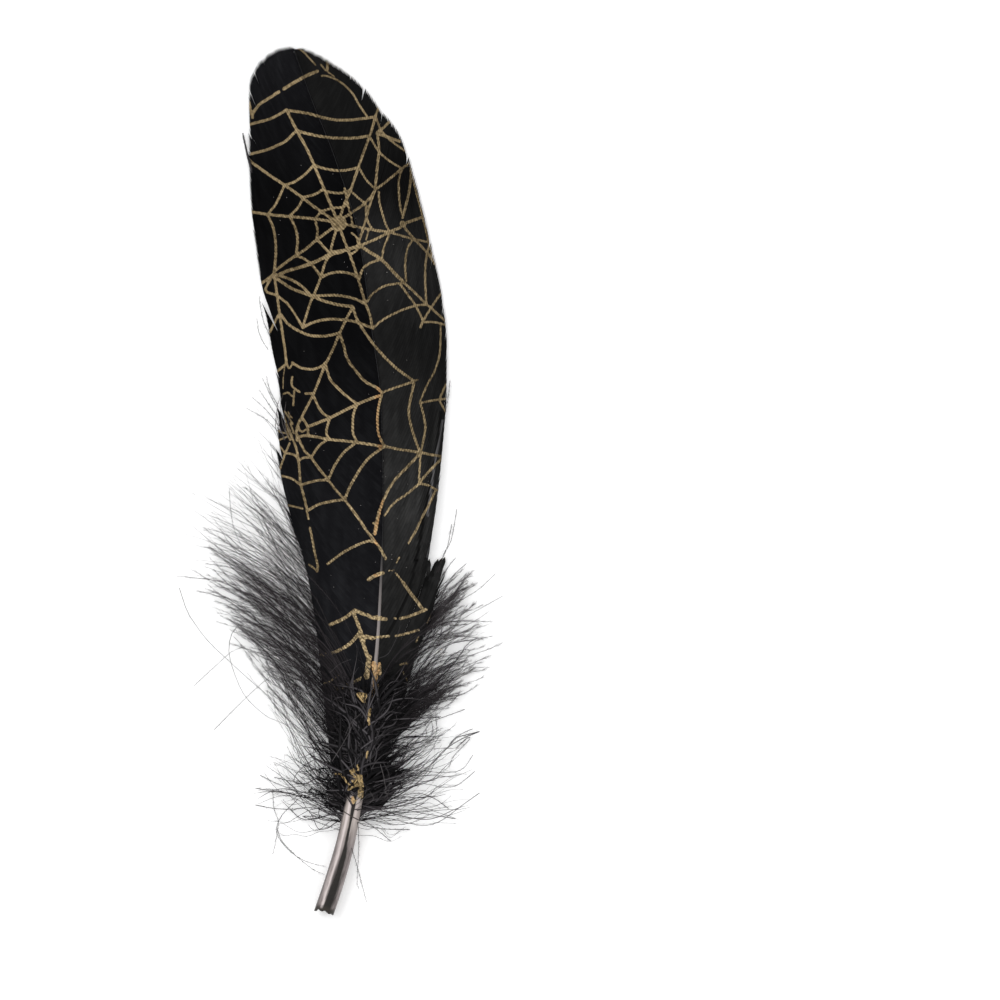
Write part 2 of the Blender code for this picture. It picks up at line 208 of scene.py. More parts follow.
# %% The threads, from the tip down
UPPER_WEB = (
    (0.27, (-18.4, 71.8), (-18.1, 70.2), (-17.7, 68.8)),
    (0.29, (-17.7, 69.5), (-17.1, 70.4), (-16.2, 71.4), (-13.9, 72.8)),
    (0.31, (-13.5, 73.1), (-12.7, 73.6)),
    (0.32, (-11.7, 74.2), (-9.2, 75.7), (-7.6, 76.6), (-5.4, 77.6)),
    (0.15, (-9.6, 82.3), (-8.0, 81.3), (-6.7, 79.9), (-5.7, 78.8)),
    (0.16, (-4.7, 78.9), (-3.8, 77.8)),
    (0.23, (-3.4, 79.5), (-3.5, 77.8)),
    (0.15, (-3.5, 77.6), (-2.2, 76.6)),
    (0.20, (-4.5, 76.7), (-3.2, 76.6), (-1.4, 75.8), (0.3, 74.5), (1.5, 73.1), (2.6, 71.2),
     (4.0, 69.1)),
    (0.27, (-18.7, 67.4), (-17.1, 67.8), (-15.2, 68.2), (-13.5, 68.8), (-11.2, 70.1)),
    (0.27, (-11.2, 70.1), (-9.2, 69.8), (-6.5, 69.3), (-4.0, 68.6), (-1.6, 68.2), (0.9, 68.2),
     (3.2, 68.5), (5.5, 68.9)),
    (0.27, (-18.1, 61.9), (-15.2, 62.5), (-13.3, 63.2), (-11.3, 64.2), (-9.2, 66.2)),
    (0.27, (-9.2, 66.2), (-6.9, 65.5), (-3.6, 64.9), (-0.5, 64.7), (2.2, 64.8), (4.5, 65.2)),
    (0.25, (-11.5, 55.8), (-9.6, 56.4), (-7.6, 57.8), (-5.9, 59.6)),
    (0.25, (-5.9, 59.6), (-4.0, 58.9), (-1.2, 58.5), (0.9, 58.7), (2.5, 59.1)),
    (0.24, (-11.5, 55.8), (-13.1, 52.4), (-14.7, 50.4)),
    (0.25, (-14.8, 50.3), (-13.8, 48.1), (-13.3, 45.6), (-13.2, 42.9), (-13.5, 39.4)),
    (0.25, (-8.0, 53.4), (-5.7, 54.0), (-4.0, 55.0)),
    (0.24, (-3.4, 54.5), (-1.4, 54.2), (0.1, 54.4), (0.9, 54.8)),
    (0.24, (-8.0, 53.2), (-9.0, 51.4), (-10.4, 50.1)),
    (0.25, (-10.4, 49.7), (-9.4, 47.5), (-9.0, 45.2), (-9.3, 42.5)),
    (0.23, (-4.5, 50.7), (-3.6, 51.0), (-2.0, 51.4), (-0.5, 51.5), (0.3, 52.1)),
    (0.23, (-4.5, 50.7), (-5.7, 49.3)),
    (0.23, (-5.6, 48.9), (-5.2, 47.2), (-5.4, 45.4)),
    (0.23, (-5.1, 45.2), (-3.2, 43.1)),
    (0.27, (-11.2, 70.2), (-9.2, 66.2), (-7.4, 62.9), (-5.9, 59.6), (-4.0, 55.1), (-2.6, 51.7),
     (-1.8, 49.8)),
    (0.27, (-18.8, 61.1), (-17.5, 60.0), (-14.2, 57.6), (-11.5, 55.8), (-8.0, 53.3), (-6.1, 51.8),
     (-4.5, 50.7), (-2.6, 49.4)),
    (0.27, (-18.6, 51.0), (-14.8, 50.3), (-10.4, 49.8), (-5.7, 49.3), (-2.6, 48.8)),
    (0.27, (-13.6, 39.4), (-11.5, 40.9), (-9.5, 42.3), (-7.6, 43.5), (-5.4, 45.3), (-2.4, 47.5)),
    (0.25, (5.7, 68.9), (4.5, 64.8), (2.5, 59.1), (1.1, 54.9), (0.0, 52.4), (-0.8, 50.0)),
    (0.25, (3.8, 52.2), (1.4, 50.6), (-0.4, 49.4)),
    (0.25, (-2.8, 42.7), (-2.4, 44.5), (-1.7, 47.1)),
    (0.25, (-0.9, 47.3), (0.3, 44.1), (1.1, 42.1), (2.5, 38.0), (3.8, 33.6), (4.7, 31.2), (5.2, 28.9)),
    (0.32, (-13.5, 38.4), (-10.9, 39.5), (-6.5, 40.8), (-2.8, 42.5), (-0.1, 43.3), (2.6, 44.1)),
    (0.45, (-3.5, 42.1), (-2.2, 42.8), (-0.7, 43.1)),
    (0.24, (-2.8, 42.7), (-3.8, 40.8), (-4.5, 38.4), (-5.7, 35.3), (-6.5, 33.6), (-8.0, 28.9)),
    (0.24, (-9.5, 42.3), (-8.0, 41.9), (-6.5, 40.8), (-5.3, 39.4), (-4.5, 38.2)),
    (0.25, (-4.5, 38.2), (-2.6, 39.0), (-0.7, 39.2), (1.3, 38.8), (2.5, 38.0)),
    (0.23, (2.8, 38.0), (3.4, 39.8), (4.8, 40.9), (6.5, 41.5)),
    (1.44, (-1.2, 48.5), (-1.1, 48.4)),
    (0.21, (1.3, 46.6), (2.2, 45.8), (2.5, 43.7), (1.1, 42.5)),
    (0.20, (-0.1, 55.1), (0.5, 52.4), (1.6, 47.7)),
    (0.24, (-0.1, 48.3), (1.8, 47.9), (4.9, 47.3), (8.4, 46.8)),
    (0.23, (5.7, 54.8), (4.9, 52.6), (4.1, 49.7), (3.4, 47.2), (2.8, 45.4), (2.6, 43.7)),
    (0.20, (4.0, 52.0), (4.0, 50.3), (4.4, 48.7), (5.3, 47.3), (6.6, 46.9)),
    (0.20, (1.1, 54.6), (2.4, 53.4), (3.8, 52.3)),
    (0.20, (2.8, 58.8), (4.0, 56.8), (5.4, 55.3)),
    (0.23, (3.8, 52.3), (4.8, 53.4), (5.7, 54.7)),
    (0.23, (5.7, 54.8), (8.2, 56.8), (10.7, 59.0), (11.9, 59.9), (12.6, 60.4)),
    (0.20, (4.8, 64.8), (5.9, 62.9), (7.1, 61.5), (8.6, 60.3), (10.7, 59.1)),
    (0.25, (6.1, 65.4), (6.4, 62.7), (6.1, 59.2), (5.7, 54.9)),
    (0.21, (6.3, 70.9), (5.7, 69.0)),
    (0.21, (5.7, 69.0), (6.8, 66.2)),
    (0.24, (8.5, 68.2), (6.7, 66.3)),
    (0.43, (6.2, 65.8), (6.6, 66.2)),
    (0.27, (6.6, 65.5), (8.5, 64.9), (10.3, 64.3)),
    (0.20, (7.1, 65.9), (8.6, 64.4), (11.3, 62.5)),
    (0.20, (6.4, 54.5), (6.5, 52.6), (7.1, 50.3), (7.8, 48.1), (8.4, 47.0)),
    (0.20, (10.8, 59.0), (10.2, 57.0), (10.2, 54.5), (10.4, 52.0), (10.9, 50.0)),
    (0.23, (12.4, 59.7), (12.4, 57.4), (12.1, 54.5), (11.5, 52.0), (10.9, 49.6)),
    (0.17, (12.7, 57.6), (13.5, 54.3), (14.3, 51.4), (15.1, 48.1), (16.0, 44.3), (16.9, 40.9)),
    (0.56, (10.9, 48.5), (11.0, 48.3)),
    (0.27, (11.7, 48.7), (14.5, 49.8)),
    (0.27, (10.4, 47.7), (8.4, 46.8)),
    (0.24, (11.3, 47.7), (12.9, 45.8), (15.5, 43.1), (17.2, 40.8)),
    (0.21, (8.4, 46.8), (12.1, 45.8), (16.1, 45.0)),
    (0.25, (8.5, 46.8), (5.3, 45.2), (2.8, 44.2)),
    (0.19, (8.4, 46.3), (7.4, 43.9), (7.0, 41.7)),
    (0.20, (12.8, 45.4), (11.8, 43.6), (11.4, 40.5), (11.6, 37.6)),
    (0.20, (16.0, 44.8), (15.5, 42.7), (15.2, 40.5), (15.2, 37.1), (15.4, 33.4)),
    (0.17, (4.5, 47.2), (4.0, 45.4)),
    (0.31, (2.7, 44.3), (4.7, 43.0), (7.0, 41.5), (9.6, 38.8), (11.3, 37.1)),
    (0.23, (11.3, 37.1), (13.5, 35.1), (15.4, 33.2), (16.4, 32.4), (19.1, 30.0)),
    (0.21, (10.4, 37.0), (11.8, 35.1), (13.5, 32.7), (14.8, 30.0)),
    (0.21, (4.3, 33.7), (5.3, 35.1), (7.4, 36.5), (9.6, 37.0), (10.7, 37.1)),
    (0.21, (5.5, 28.7), (7.0, 30.0), (9.1, 31.2), (11.3, 32.2), (13.5, 32.9), (15.5, 33.1)),
    (0.21, (18.1, 35.3), (16.2, 32.4), (14.8, 30.0), (14.3, 28.7)),
    (0.21, (15.0, 29.8), (17.0, 29.8), (19.1, 29.3)),
)

MIDDLE_WEB = (
    (0.18, (18.1, 29.7), (18.1, 27.3), (17.9, 23.6), (16.9, 20.3), (15.6, 17.9), (14.2, 14.6)),
    (0.39, (-13.5, 38.9), (-13.4, 38.7)),
    (0.26, (-16.1, 37.2), (-13.5, 39.0)),
    (0.24, (-14.0, 38.4), (-15.2, 35.9), (-13.1, 34.9), (-11.1, 33.4), (-9.8, 31.7), (-8.1, 28.9)),
    (0.25, (-13.5, 38.6), (-12.9, 34.4), (-12.5, 31.3), (-12.1, 28.7), (-11.5, 24.7), (-11.2, 21.9)),
    (0.24, (-12.6, 31.4), (-14.4, 28.0)),
    (0.26, (-12.3, 31.3), (-10.9, 29.5), (-9.0, 28.2), (-6.5, 27.2), (-3.6, 27.1), (-1.1, 27.6)),
    (0.26, (-13.2, 38.8), (-10.7, 38.0), (-8.4, 36.7), (-6.3, 34.6)),
    (0.28, (-13.2, 38.2), (-10.4, 36.3), (-8.0, 35.3), (-6.1, 34.6), (-3.6, 33.6), (-0.7, 32.9),
     (1.5, 32.7)),
    (0.25, (-6.1, 34.6), (-3.6, 34.8), (-0.7, 34.7), (1.9, 34.1), (3.7, 33.2)),
    (0.26, (-8.0, 28.7), (-6.5, 29.5), (-3.8, 30.2), (-0.7, 30.2), (2.2, 29.7), (5.4, 28.5)),
    (0.25, (1.5, 32.7), (0.3, 30.3), (-1.0, 27.6), (-2.2, 24.7), (-3.8, 21.4), (-5.0, 18.5),
     (-6.0, 16.1), (-7.2, 13.8), (-8.2, 11.8), (-9.2, 9.7), (-9.2, 7.3)),
    (0.25, (1.5, 32.7), (2.2, 30.5), (3.2, 28.7), (5.2, 25.8), (6.1, 24.7), (8.1, 22.5), (10.1, 20.7),
     (13.0, 18.6)),
    (0.26, (-1.0, 27.6), (-0.3, 25.5), (0.5, 22.7), (2.0, 20.6), (3.8, 18.5), (6.0, 17.3), (7.1, 16.3)),
    (0.24, (-11.2, 21.9), (-13.3, 20.3)),
    (0.17, (-11.2, 22.0), (-10.7, 21.0), (-10.2, 21.6), (-10.1, 22.1)),
    (0.25, (-10.1, 22.1), (-8.4, 21.1), (-6.3, 20.8), (-4.5, 21.3), (-3.5, 22.2)),
    (0.11, (-11.4, 22.1), (-11.8, 19.4), (-11.9, 17.2)),
    (0.24, (-6.0, 16.2), (-7.5, 16.2)),
    (0.24, (-6.0, 15.8), (-5.0, 13.6), (-4.0, 12.3), (-2.8, 11.6)),
    (0.24, (-3.6, 21.5), (-2.8, 18.9), (-1.1, 17.0), (0.8, 15.3), (2.4, 14.2)),
    (0.28, (6.4, 15.7), (4.7, 15.1), (2.7, 14.3), (0.6, 13.3), (-2.8, 11.6), (-5.0, 10.7), (-7.1, 9.9)),
    (0.24, (7.1, 16.3), (6.5, 14.1), (6.2, 11.6), (6.3, 9.0), (6.9, 7.3), (7.6, 6.2)),
    (0.24, (2.3, 14.1), (1.6, 12.1), (1.5, 9.9), (1.6, 8.5), (2.3, 7.0)),
    (0.24, (-2.9, 11.4), (-3.4, 9.7), (-3.5, 8.5), (-2.9, 7.5)),
    (0.24, (-8.2, 11.6), (-7.2, 10.1), (-7.0, 8.4)),
    (0.18, (-8.6, 11.4), (-9.0, 10.3), (-8.4, 9.0), (-7.4, 9.4)),
    (0.26, (-9.0, 8.0), (-7.0, 8.2), (-2.9, 7.5), (-0.1, 7.2), (2.3, 6.9), (5.0, 6.5), (7.5, 6.0)),
    (0.24, (-3.3, 7.5), (-5.0, 6.2), (-6.2, 4.5), (-6.5, 4.1)),
    (0.25, (-8.9, 7.6), (-7.7, 5.3), (-6.5, 4.1), (-5.3, 2.4), (-3.3, 0.0), (-1.9, -1.9), (-0.0, -4.0)),
    (0.22, (-6.5, 4.1), (-8.0, 4.0), (-8.9, 3.4)),
    (0.22, (-8.9, 3.4), (-9.6, 4.5), (-11.4, 5.0)),
    (0.24, (-9.6, 6.7), (-9.0, 4.3), (-8.7, 1.4), (-8.5, -0.9), (-7.9, -3.2), (-7.3, -5.7)),
    (0.21, (-10.6, 6.8), (-11.4, 5.0), (-12.1, 3.1), (-12.8, 1.2)),
    (0.19, (-13.0, 6.7), (-11.6, 5.1)),
    (0.25, (2.0, 6.8), (-0.2, 5.0), (-1.9, 2.6), (-3.1, 0.0)),
    (0.26, (7.1, 5.9), (4.4, 3.8), (2.3, 0.9), (0.6, -2.2), (-0.0, -4.0)),
    (0.24, (-3.6, -0.2), (-5.3, -0.3), (-7.0, -0.7), (-8.4, -1.2)),
    (0.21, (-8.7, -1.0), (-10.1, 0.0), (-12.1, 0.6)),
    (0.19, (-11.8, 16.2), (-10.9, 16.4), (-10.2, 15.8)),
    (0.21, (-10.1, 19.4), (-10.1, 17.7), (-8.7, 16.5)),
    (0.21, (-9.7, 16.7), (-9.9, 14.0)),
    (0.18, (-11.6, 12.9), (-10.7, 11.6), (-10.0, 10.4)),
    (0.18, (-11.6, 11.8), (-11.1, 9.7), (-10.4, 8.2)),
    (0.15, (-10.9, 12.7), (-10.2, 11.6)),
    (0.19, (-11.1, 10.3), (-10.4, 8.7), (-9.8, 7.0)),
    (0.17, (-10.5, 10.6), (-9.8, 8.7)),
    (0.17, (-11.4, 9.1), (-10.5, 7.4)),
    (0.17, (-13.2, 9.3), (-11.5, 8.7)),
    (0.17, (-12.9, 7.3), (-11.3, 8.0)),
    (0.21, (-10.4, 8.2), (-9.5, 6.5)),
    (0.22, (13.0, 18.4), (10.4, 17.6), (7.4, 16.5)),
    (0.18, (13.0, 18.6), (13.8, 18.8)),
    (0.24, (13.1, 18.2), (12.2, 13.8), (12.2, 11.6), (13.0, 8.4), (14.2, 5.1)),
    (0.21, (14.2, 14.4), (16.7, 14.9), (19.2, 15.3)),
    (0.21, (19.1, 18.0), (17.9, 15.2)),
    (0.18, (17.9, 14.9), (19.1, 12.7)),
    (0.21, (14.4, 14.1), (15.0, 11.6), (15.2, 9.2), (14.4, 5.1)),
    (0.25, (7.8, 6.1), (10.4, 5.6), (14.2, 5.0), (18.1, 4.3)),
    (0.26, (14.1, 4.7), (11.6, 2.0), (9.9, 0.3), (8.4, -1.8), (7.5, -3.7), (6.7, -5.7), (6.1, -7.7),
     (5.6, -10.4)),
    (0.19, (14.3, 4.7), (14.0, -0.6)),
    (0.24, (18.1, 3.7), (16.0, 1.5), (14.2, -0.6)),
    (0.22, (14.2, -0.8), (11.7, -2.9), (9.4, -4.5), (7.5, -6.9)),
    (0.22, (14.2, -0.9), (15.7, -1.2), (17.4, -2.1)),
    (0.22, (17.2, -2.1), (16.0, -4.7), (14.6, -7.3), (13.4, -9.9), (12.0, -12.2)),
    (0.17, (10.3, -14.9), (9.7, -15.9)),
    (0.14, (8.3, -17.4), (9.4, -17.3)),
    (0.26, (-0.0, -4.0), (2.4, -7.2), (4.1, -9.8), (5.5, -11.6), (6.7, -13.2), (7.8, -15.2)),
    (0.25, (-0.3, -3.9), (-3.3, -4.4), (-5.2, -4.9), (-7.1, -6.0)),
    (0.19, (-11.8, -4.4), (-10.8, -5.0), (-8.1, -5.6)),
    (0.19, (-7.3, -6.1), (-7.0, -7.6)),
    (0.22, (-6.7, -9.3), (-6.2, -11.7), (-5.7, -14.4), (-5.2, -16.6), (-5.4, -17.6)),
    (0.19, (-5.4, -17.4), (-6.9, -16.3)),
    (0.25, (5.4, -11.9), (4.4, -11.8), (2.4, -12.5), (0.4, -13.5), (-1.0, -14.4), (-3.3, -16.1)),
    (0.32, (6.5, -6.3), (6.1, -8.2), (5.7, -10.4)),
    (0.22, (5.4, -8.4), (5.5, -8.5)),
)

LOWER_WEB = (
    (0.35, (4.5, -19.1), (5.6, -18.4), (7.2, -17.8)),
    (0.17, (9.6, -17.8), (11.0, -19.6)),
    (0.30, (11.0, -19.6), (12.5, -21.8), (13.6, -23.2), (14.8, -25.0)),
    (0.28, (15.4, -24.8), (12.7, -25.9), (10.5, -26.5)),
    (0.22, (9.4, -26.5), (9.6, -26.5)),
    (0.32, (-2.9, -27.7), (-0.1, -26.4), (1.8, -24.9)),
    (0.35, (1.8, -24.9), (2.3, -25.1), (3.7, -25.7)),
    (0.34, (4.3, -25.8), (5.2, -26.3), (7.8, -26.6)),
    (0.45, (5.9, -26.3), (6.7, -26.4)),
    (0.34, (1.6, -25.3), (2.5, -27.6), (3.0, -29.1)),
    (0.56, (2.9, -29.3), (3.4, -30.6)),
    (0.32, (2.7, -29.3), (1.2, -31.0), (-0.5, -32.2), (-2.6, -33.1), (-4.7, -33.5)),
    (0.26, (3.7, -29.8), (4.8, -30.1), (6.7, -30.0), (8.3, -29.8)),
    (0.39, (3.9, -29.9), (5.2, -30.2)),
    (0.22, (9.6, -29.8), (11.9, -29.3), (13.9, -28.7)),
    (0.35, (3.4, -31.0), (4.0, -32.9), (4.6, -34.4)),
    (0.48, (4.6, -33.8), (4.3, -35.9), (4.1, -37.6)),
    (0.28, (3.9, -37.2), (2.0, -38.4), (0.0, -39.2), (-0.3, -39.7)),
    (0.19, (0.2, -39.4), (1.8, -40.5)),
    (0.63, (2.9, -41.4), (3.5, -41.3)),
    (0.28, (2.1, -40.8), (2.6, -41.8)),
    (0.48, (5.5, -35.0), (5.7, -36.9), (5.7, -38.2)),
    (0.34, (6.5, -35.1), (6.6, -36.9)),
    (0.37, (5.7, -38.6), (5.3, -40.5), (4.8, -42.4)),
    (0.19, (6.3, -39.0), (6.6, -40.1)),
    (0.19, (-4.2, -38.9), (-2.8, -38.4), (-1.0, -37.0)),
    (0.19, (-2.1, -39.4), (-1.3, -40.3)),
    (0.19, (10.5, -35.3), (11.6, -34.9)),
    (0.15, (11.0, -36.6), (11.8, -38.4), (12.4, -39.7), (14.0, -40.9)),
    (0.15, (13.5, -31.0), (13.9, -30.0)),
    (0.24, (4.9, -44.6), (4.7, -46.0), (4.6, -46.6)),
    (0.19, (4.3, -48.6), (4.1, -49.8)),
    (0.17, (7.2, -47.5), (7.6, -48.1)),
    (0.17, (4.1, -52.1), (4.0, -53.0)),
    (0.17, (2.3, -53.7), (2.9, -53.2)),
    (0.20, (17.7, -35.7), (18.0, -37.4)),
    (0.19, (18.4, -36.0), (18.6, -36.6)),
    (0.17, (-9.3, -29.8), (-9.2, -29.9)),
    (0.19, (-7.0, -34.2), (-6.9, -34.2)),
    (0.15, (15.6, -27.4), (16.3, -26.0)),
)

# Drops of gold on the shaft, near its foot and on the quill.
FOOT_GOLD = (
    (0.36, (2.5, -56.6), (3.0, -56.4)),
    (0.49, (2.9, -57.2), (3.1, -58.3)),
    (0.55, (3.0, -59.3), (2.9, -60.2)),
    (0.38, (1.4, -60.6), (1.6, -61.4)),
    (0.27, (1.0, -55.3), (1.2, -55.9)),
    (0.23, (1.7, -55.1), (1.8, -56.0)),
    (0.17, (-2.2, -56.1), (-0.9, -56.0), (-0.1, -56.8)),
    (0.19, (-0.5, -56.4), (0.2, -57.4), (0.9, -58.1)),
    (0.23, (1.3, -57.2), (2.2, -57.8)),
    (0.19, (0.6, -59.0), (1.4, -58.5), (2.4, -58.1)),
    (0.21, (2.4, -54.3), (2.6, -55.3)),
    (0.23, (1.7, -56.5), (2.1, -57.2)),
    (0.42, (2.5, -40.9), (3.9, -41.0)),
    (0.32, (2.9, -41.6), (3.7, -42.2)),
    (0.25, (4.8, -43.7), (4.5, -45.4), (4.6, -46.5)),
    (0.19, (4.3, -51.5), (4.1, -53.0)),
    (0.23, (18.1, -32.5), (18.2, -33.8)),
    (0.19, (11.9, -35.1), (11.3, -35.2)),
)
print("threads:", len(UPPER_WEB) + len(MIDDLE_WEB) + len(LOWER_WEB) + len(FOOT_GOLD))

# %% [markdown]
# ## How far inside a thread a point is
#
# A smooth curve goes through the points of a thread. Where threads meet, a soft union
# leaves the small fillets that thick ink leaves in the corners.

# %% Distance to the threads
UNPAINTED = 1.5  # mm: the distance that a place with no thread near it gets
FILLET = 0.05


def curve_through(points, steps=6):
    """A smooth line through the points."""
    p = np.asarray(points, float)
    p = np.concatenate((2 * p[:1] - p[1:2], p, 2 * p[-1:] - p[-2:-1]))
    t = np.linspace(0, 1, steps, endpoint=False)[:, None]
    pieces = [
        0.5 * (2 * b + (c - a) * t + (2 * a - 5 * b + 4 * c - d) * t**2 + (3 * b - a - 3 * c + d) * t**3)
        for a, b, c, d in zip(p, p[1:], p[2:], p[3:])
    ]
    return np.concatenate((*pieces, p[-2:-1]))


def inside_strokes(places, strokes):
    """How far inside the nearest stroke each place is, in mm. It is negative outside."""
    found = np.full(len(places), -UNPAINTED)
    for half, *route in strokes:
        line = curve_through(route)
        near = np.all((places > line.min(0) - UNPAINTED) & (places < line.max(0) + UNPAINTED), axis=1)
        start, run = line[:-1], np.diff(line, axis=0)
        offset = places[near][:, None] - start
        share = np.clip((offset * run).sum(-1) / (run**2).sum(-1), 0, 1)
        gap = np.linalg.norm(offset - share[..., None] * run, axis=-1).min(axis=1)
        inside = np.maximum(half - gap, -UNPAINTED)
        now = found[near]
        mix = np.clip(0.5 + 0.5 * (inside - now) / FILLET, 0, 1)
        found[near] = now + (inside - now) * mix + FILLET * mix * (1 - mix)
    return found


THREADS = (*UPPER_WEB, *MIDDLE_WEB, *LOWER_WEB, *FOOT_GOLD)
UPPER_HUB = np.array([[-1.2, 48.5]])
print("the hub of the upper web is", np.round(inside_strokes(UPPER_HUB, THREADS), 2), "mm inside")

# %% [markdown]
# ## Tubes and pieces
#
# Barbs, strands, hairs and the quill are all tubes: rings of corners joined along a line
# and closed at both ends. Many tubes make one mesh, because an array of corners is far
# faster than one object for each. Each tube gets its own strip of the texture map.

# %% Mesh helpers
SHOW = bpy.context.scene.collection


def tube_faces(count, stations, sides):
    """Triangles of closed tubes that are stacked in one list, and their texture corners."""
    place = np.arange(count * stations * sides).reshape(count, stations, sides)
    after = np.roll(place, -1, axis=2)
    walls = (place[:, :-1], after[:, :-1], after[:, 1:], place[:, :-1], after[:, 1:], place[:, 1:])
    fan = np.array([(0, k + 1, k) for k in range(1, sides - 1)])
    triangles = np.concatenate(
        (
            np.stack(walls, axis=-1).reshape(-1, 3),
            place[:, 0][:, fan].reshape(-1, 3),
            place[:, -1][:, fan[:, ::-1]].reshape(-1, 3),
        )
    )
    tube, station, side = np.meshgrid(
        np.arange(count), np.arange(stations - 1), np.arange(sides), indexing="ij"
    )
    u_low, u_high = (0.01 + 0.98 * (station + step) / (stations - 1) for step in (0, 1))
    v_low, v_high = ((tube + (side + step) / (sides + 1)) / count for step in (0.02, 1))
    low_half = ((u_low, v_low), (u_low, v_high), (u_high, v_high))
    high_half = ((u_low, v_low), (u_high, v_high), (u_high, v_low))
    corners = (*low_half, *high_half)
    wall_uv = np.stack([np.stack(corner, axis=-1) for corner in corners], axis=3).reshape(-1, 2)
    cap_v = (np.repeat(np.arange(count), (sides - 2) * 3) + (sides + 0.4) / (sides + 1)) / count
    cap_v = cap_v + np.tile((0.0, 0.3, 0.3), count * (sides - 2)) / (sides + 1) / count
    cap_u = np.tile((0.0, 0.0, 0.01), count * (sides - 2))
    cap_uv = [np.stack((cap_u + start, cap_v), axis=-1) for start in (0.0, 0.98)]
    return triangles, np.concatenate((wall_uv, *cap_uv))


def sweep(lines, radii, sides):
    """Rings round each line: lines (tubes, stations, 3), radii (tubes, stations)."""
    along = np.gradient(lines, axis=1)
    along /= np.linalg.norm(along, axis=-1, keepdims=True) + 1e-9
    across = np.stack((along[..., 1], -along[..., 0], np.zeros_like(along[..., 0])), axis=-1)
    across /= np.linalg.norm(across, axis=-1, keepdims=True) + 1e-9
    up = np.cross(across, along)
    angle = 2 * math.pi * (np.arange(sides) + 0.25) / sides
    ring = across[..., None, :] * np.cos(angle)[:, None] + up[..., None, :] * np.sin(angle)[:, None]
    return lines[..., None, :] + ring * radii[..., None, None]


def join(parts):
    """Joins several (corners, triangles, texture corners, marks) into one."""
    start = np.cumsum([0] + [len(corners) for corners, _, _, _ in parts[:-1]])
    marks = {
        key: np.concatenate([marks[key] for _, _, _, marks in parts]) for key in parts[0][3]
    }
    return (
        np.concatenate([corners for corners, _, _, _ in parts]),
        np.concatenate([part[1] + first for part, first in zip(parts, start)]),
        np.concatenate([uv for _, _, uv, _ in parts]),
        marks,
    )


def as_tubes(rings, **marks):
    """Rings (tubes, stations, sides, 3) as mesh data. A mark has one value for each corner."""
    triangles, uv = tube_faces(*rings.shape[:3])
    spread = {
        key: np.broadcast_to(value, rings.shape[:3]).reshape(-1) for key, value in marks.items()
    }
    return rings.reshape(-1, 3), triangles, uv, spread


def make_piece(name, slot, corners, triangles, uv, marks, lowest=0.02):
    """Makes a mesh object that stands in the place of the solid."""
    corners = np.array(corners)
    corners[:, 2] = np.maximum(corners[:, 2], lowest)
    mesh = bpy.data.meshes.new(name)
    mesh.vertices.add(len(corners))
    mesh.vertices.foreach_set("co", (corners * MM).astype(np.float32).ravel())
    mesh.loops.add(triangles.size)
    mesh.loops.foreach_set("vertex_index", triangles.astype(np.int32).ravel())
    mesh.polygons.add(len(triangles))
    mesh.polygons.foreach_set("loop_start", np.arange(0, triangles.size, 3, dtype=np.int32))
    mesh.update(calc_edges=True)
    mesh.shade_smooth()
    layer = mesh.uv_layers.new(name="OFBake")
    layer.uv.foreach_set("vector", uv.astype(np.float32).ravel())
    for key, value in marks.items():
        attribute = mesh.attributes.new(key, "FLOAT", "POINT")
        attribute.data.foreach_set("value", np.asarray(value, np.float32))
    piece = bpy.data.objects.new(name, mesh)
    SHOW.objects.link(piece)
    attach(piece, "root")
    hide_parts("feather")
    low, high = np.round((corners[:, 2].min(), corners[:, 2].max()), 2)
    print(name, "has", len(triangles), "triangles, z", low, "to", high)
    return piece


print("a tube of 3 rings with 4 sides has", len(tube_faces(1, 3, 4)[0]), "triangles")

# %% [markdown]
# ## The vanes
#
# A vane is a row of barbs that hook onto each other, so it looks like ridged cloth and
# tears open between two barbs. Each barb here is a thin ribbon with a ridge above and
# below, as wide as the distance to its neighbour. Barbs go in bundles that lean together
# near the margin, which leaves the fine teeth and slits that a used feather has.

# %% Build a vane
BARB_PITCH = 0.385  # distance between barbs, which the photograph shows as fine ridges
BARB_STATIONS = 80
FINE_STATIONS = 320  # places at which a barb is tested for the edges of strokes
BUNDLE = (3, 13)  # the fewest barbs of a bundle, and one more than the most
# Where the gold has gone orange, along the shaft: half width, then the points it runs through.
RUST = (
    (0.5, (6.5, 17.5), (5.9, 13.1), (6.0, 9.3), (6.7, 6.1)),
    (0.3, (7.1, -4.0), (6.7, -6.8), (5.8, -9.7), (6.0, -12.5)),
    (0.25, (4.7, -17.8), (7.1, -18.6)),
    (0.9, (5.9, -34.6), (5.0, -42.0)),
    (0.7, (1.3, -55.0), (1.0, -61.5)),
)
RIDGE_UP, RIDGE_DOWN = 0.012, 0.05
TIP_TAPER = 0.9  # mm over which a barb runs out to its point
CREASES_WITH_PAINTED_SHADE = 3  # so many of a vane's creases get painted shade, and the others a painted shine


def even_roots(rows, bow, pitch):
    """Where barbs leave the shaft, so that they lie a pitch apart at half their length."""
    dense = np.linspace(rows[0][0], rows[-1][0], 1600)
    shares = np.broadcast_to((0.45, 0.5, 0.55), (len(dense), 3))
    plan = barb_points(dense, rows, bow, shares)[..., :2]
    along = plan[:, 2] - plan[:, 0]
    along /= np.linalg.norm(along, axis=1, keepdims=True)
    step = np.diff(plan[:, 1], axis=0)
    gap = np.abs(step[:, 0] * along[:-1, 1] - step[:, 1] * along[:-1, 0])
    travelled = np.concatenate(([0], np.cumsum(gap)))
    places = np.linspace(0, travelled[-1], int(travelled[-1] / pitch))
    return np.interp(places, travelled, dense)


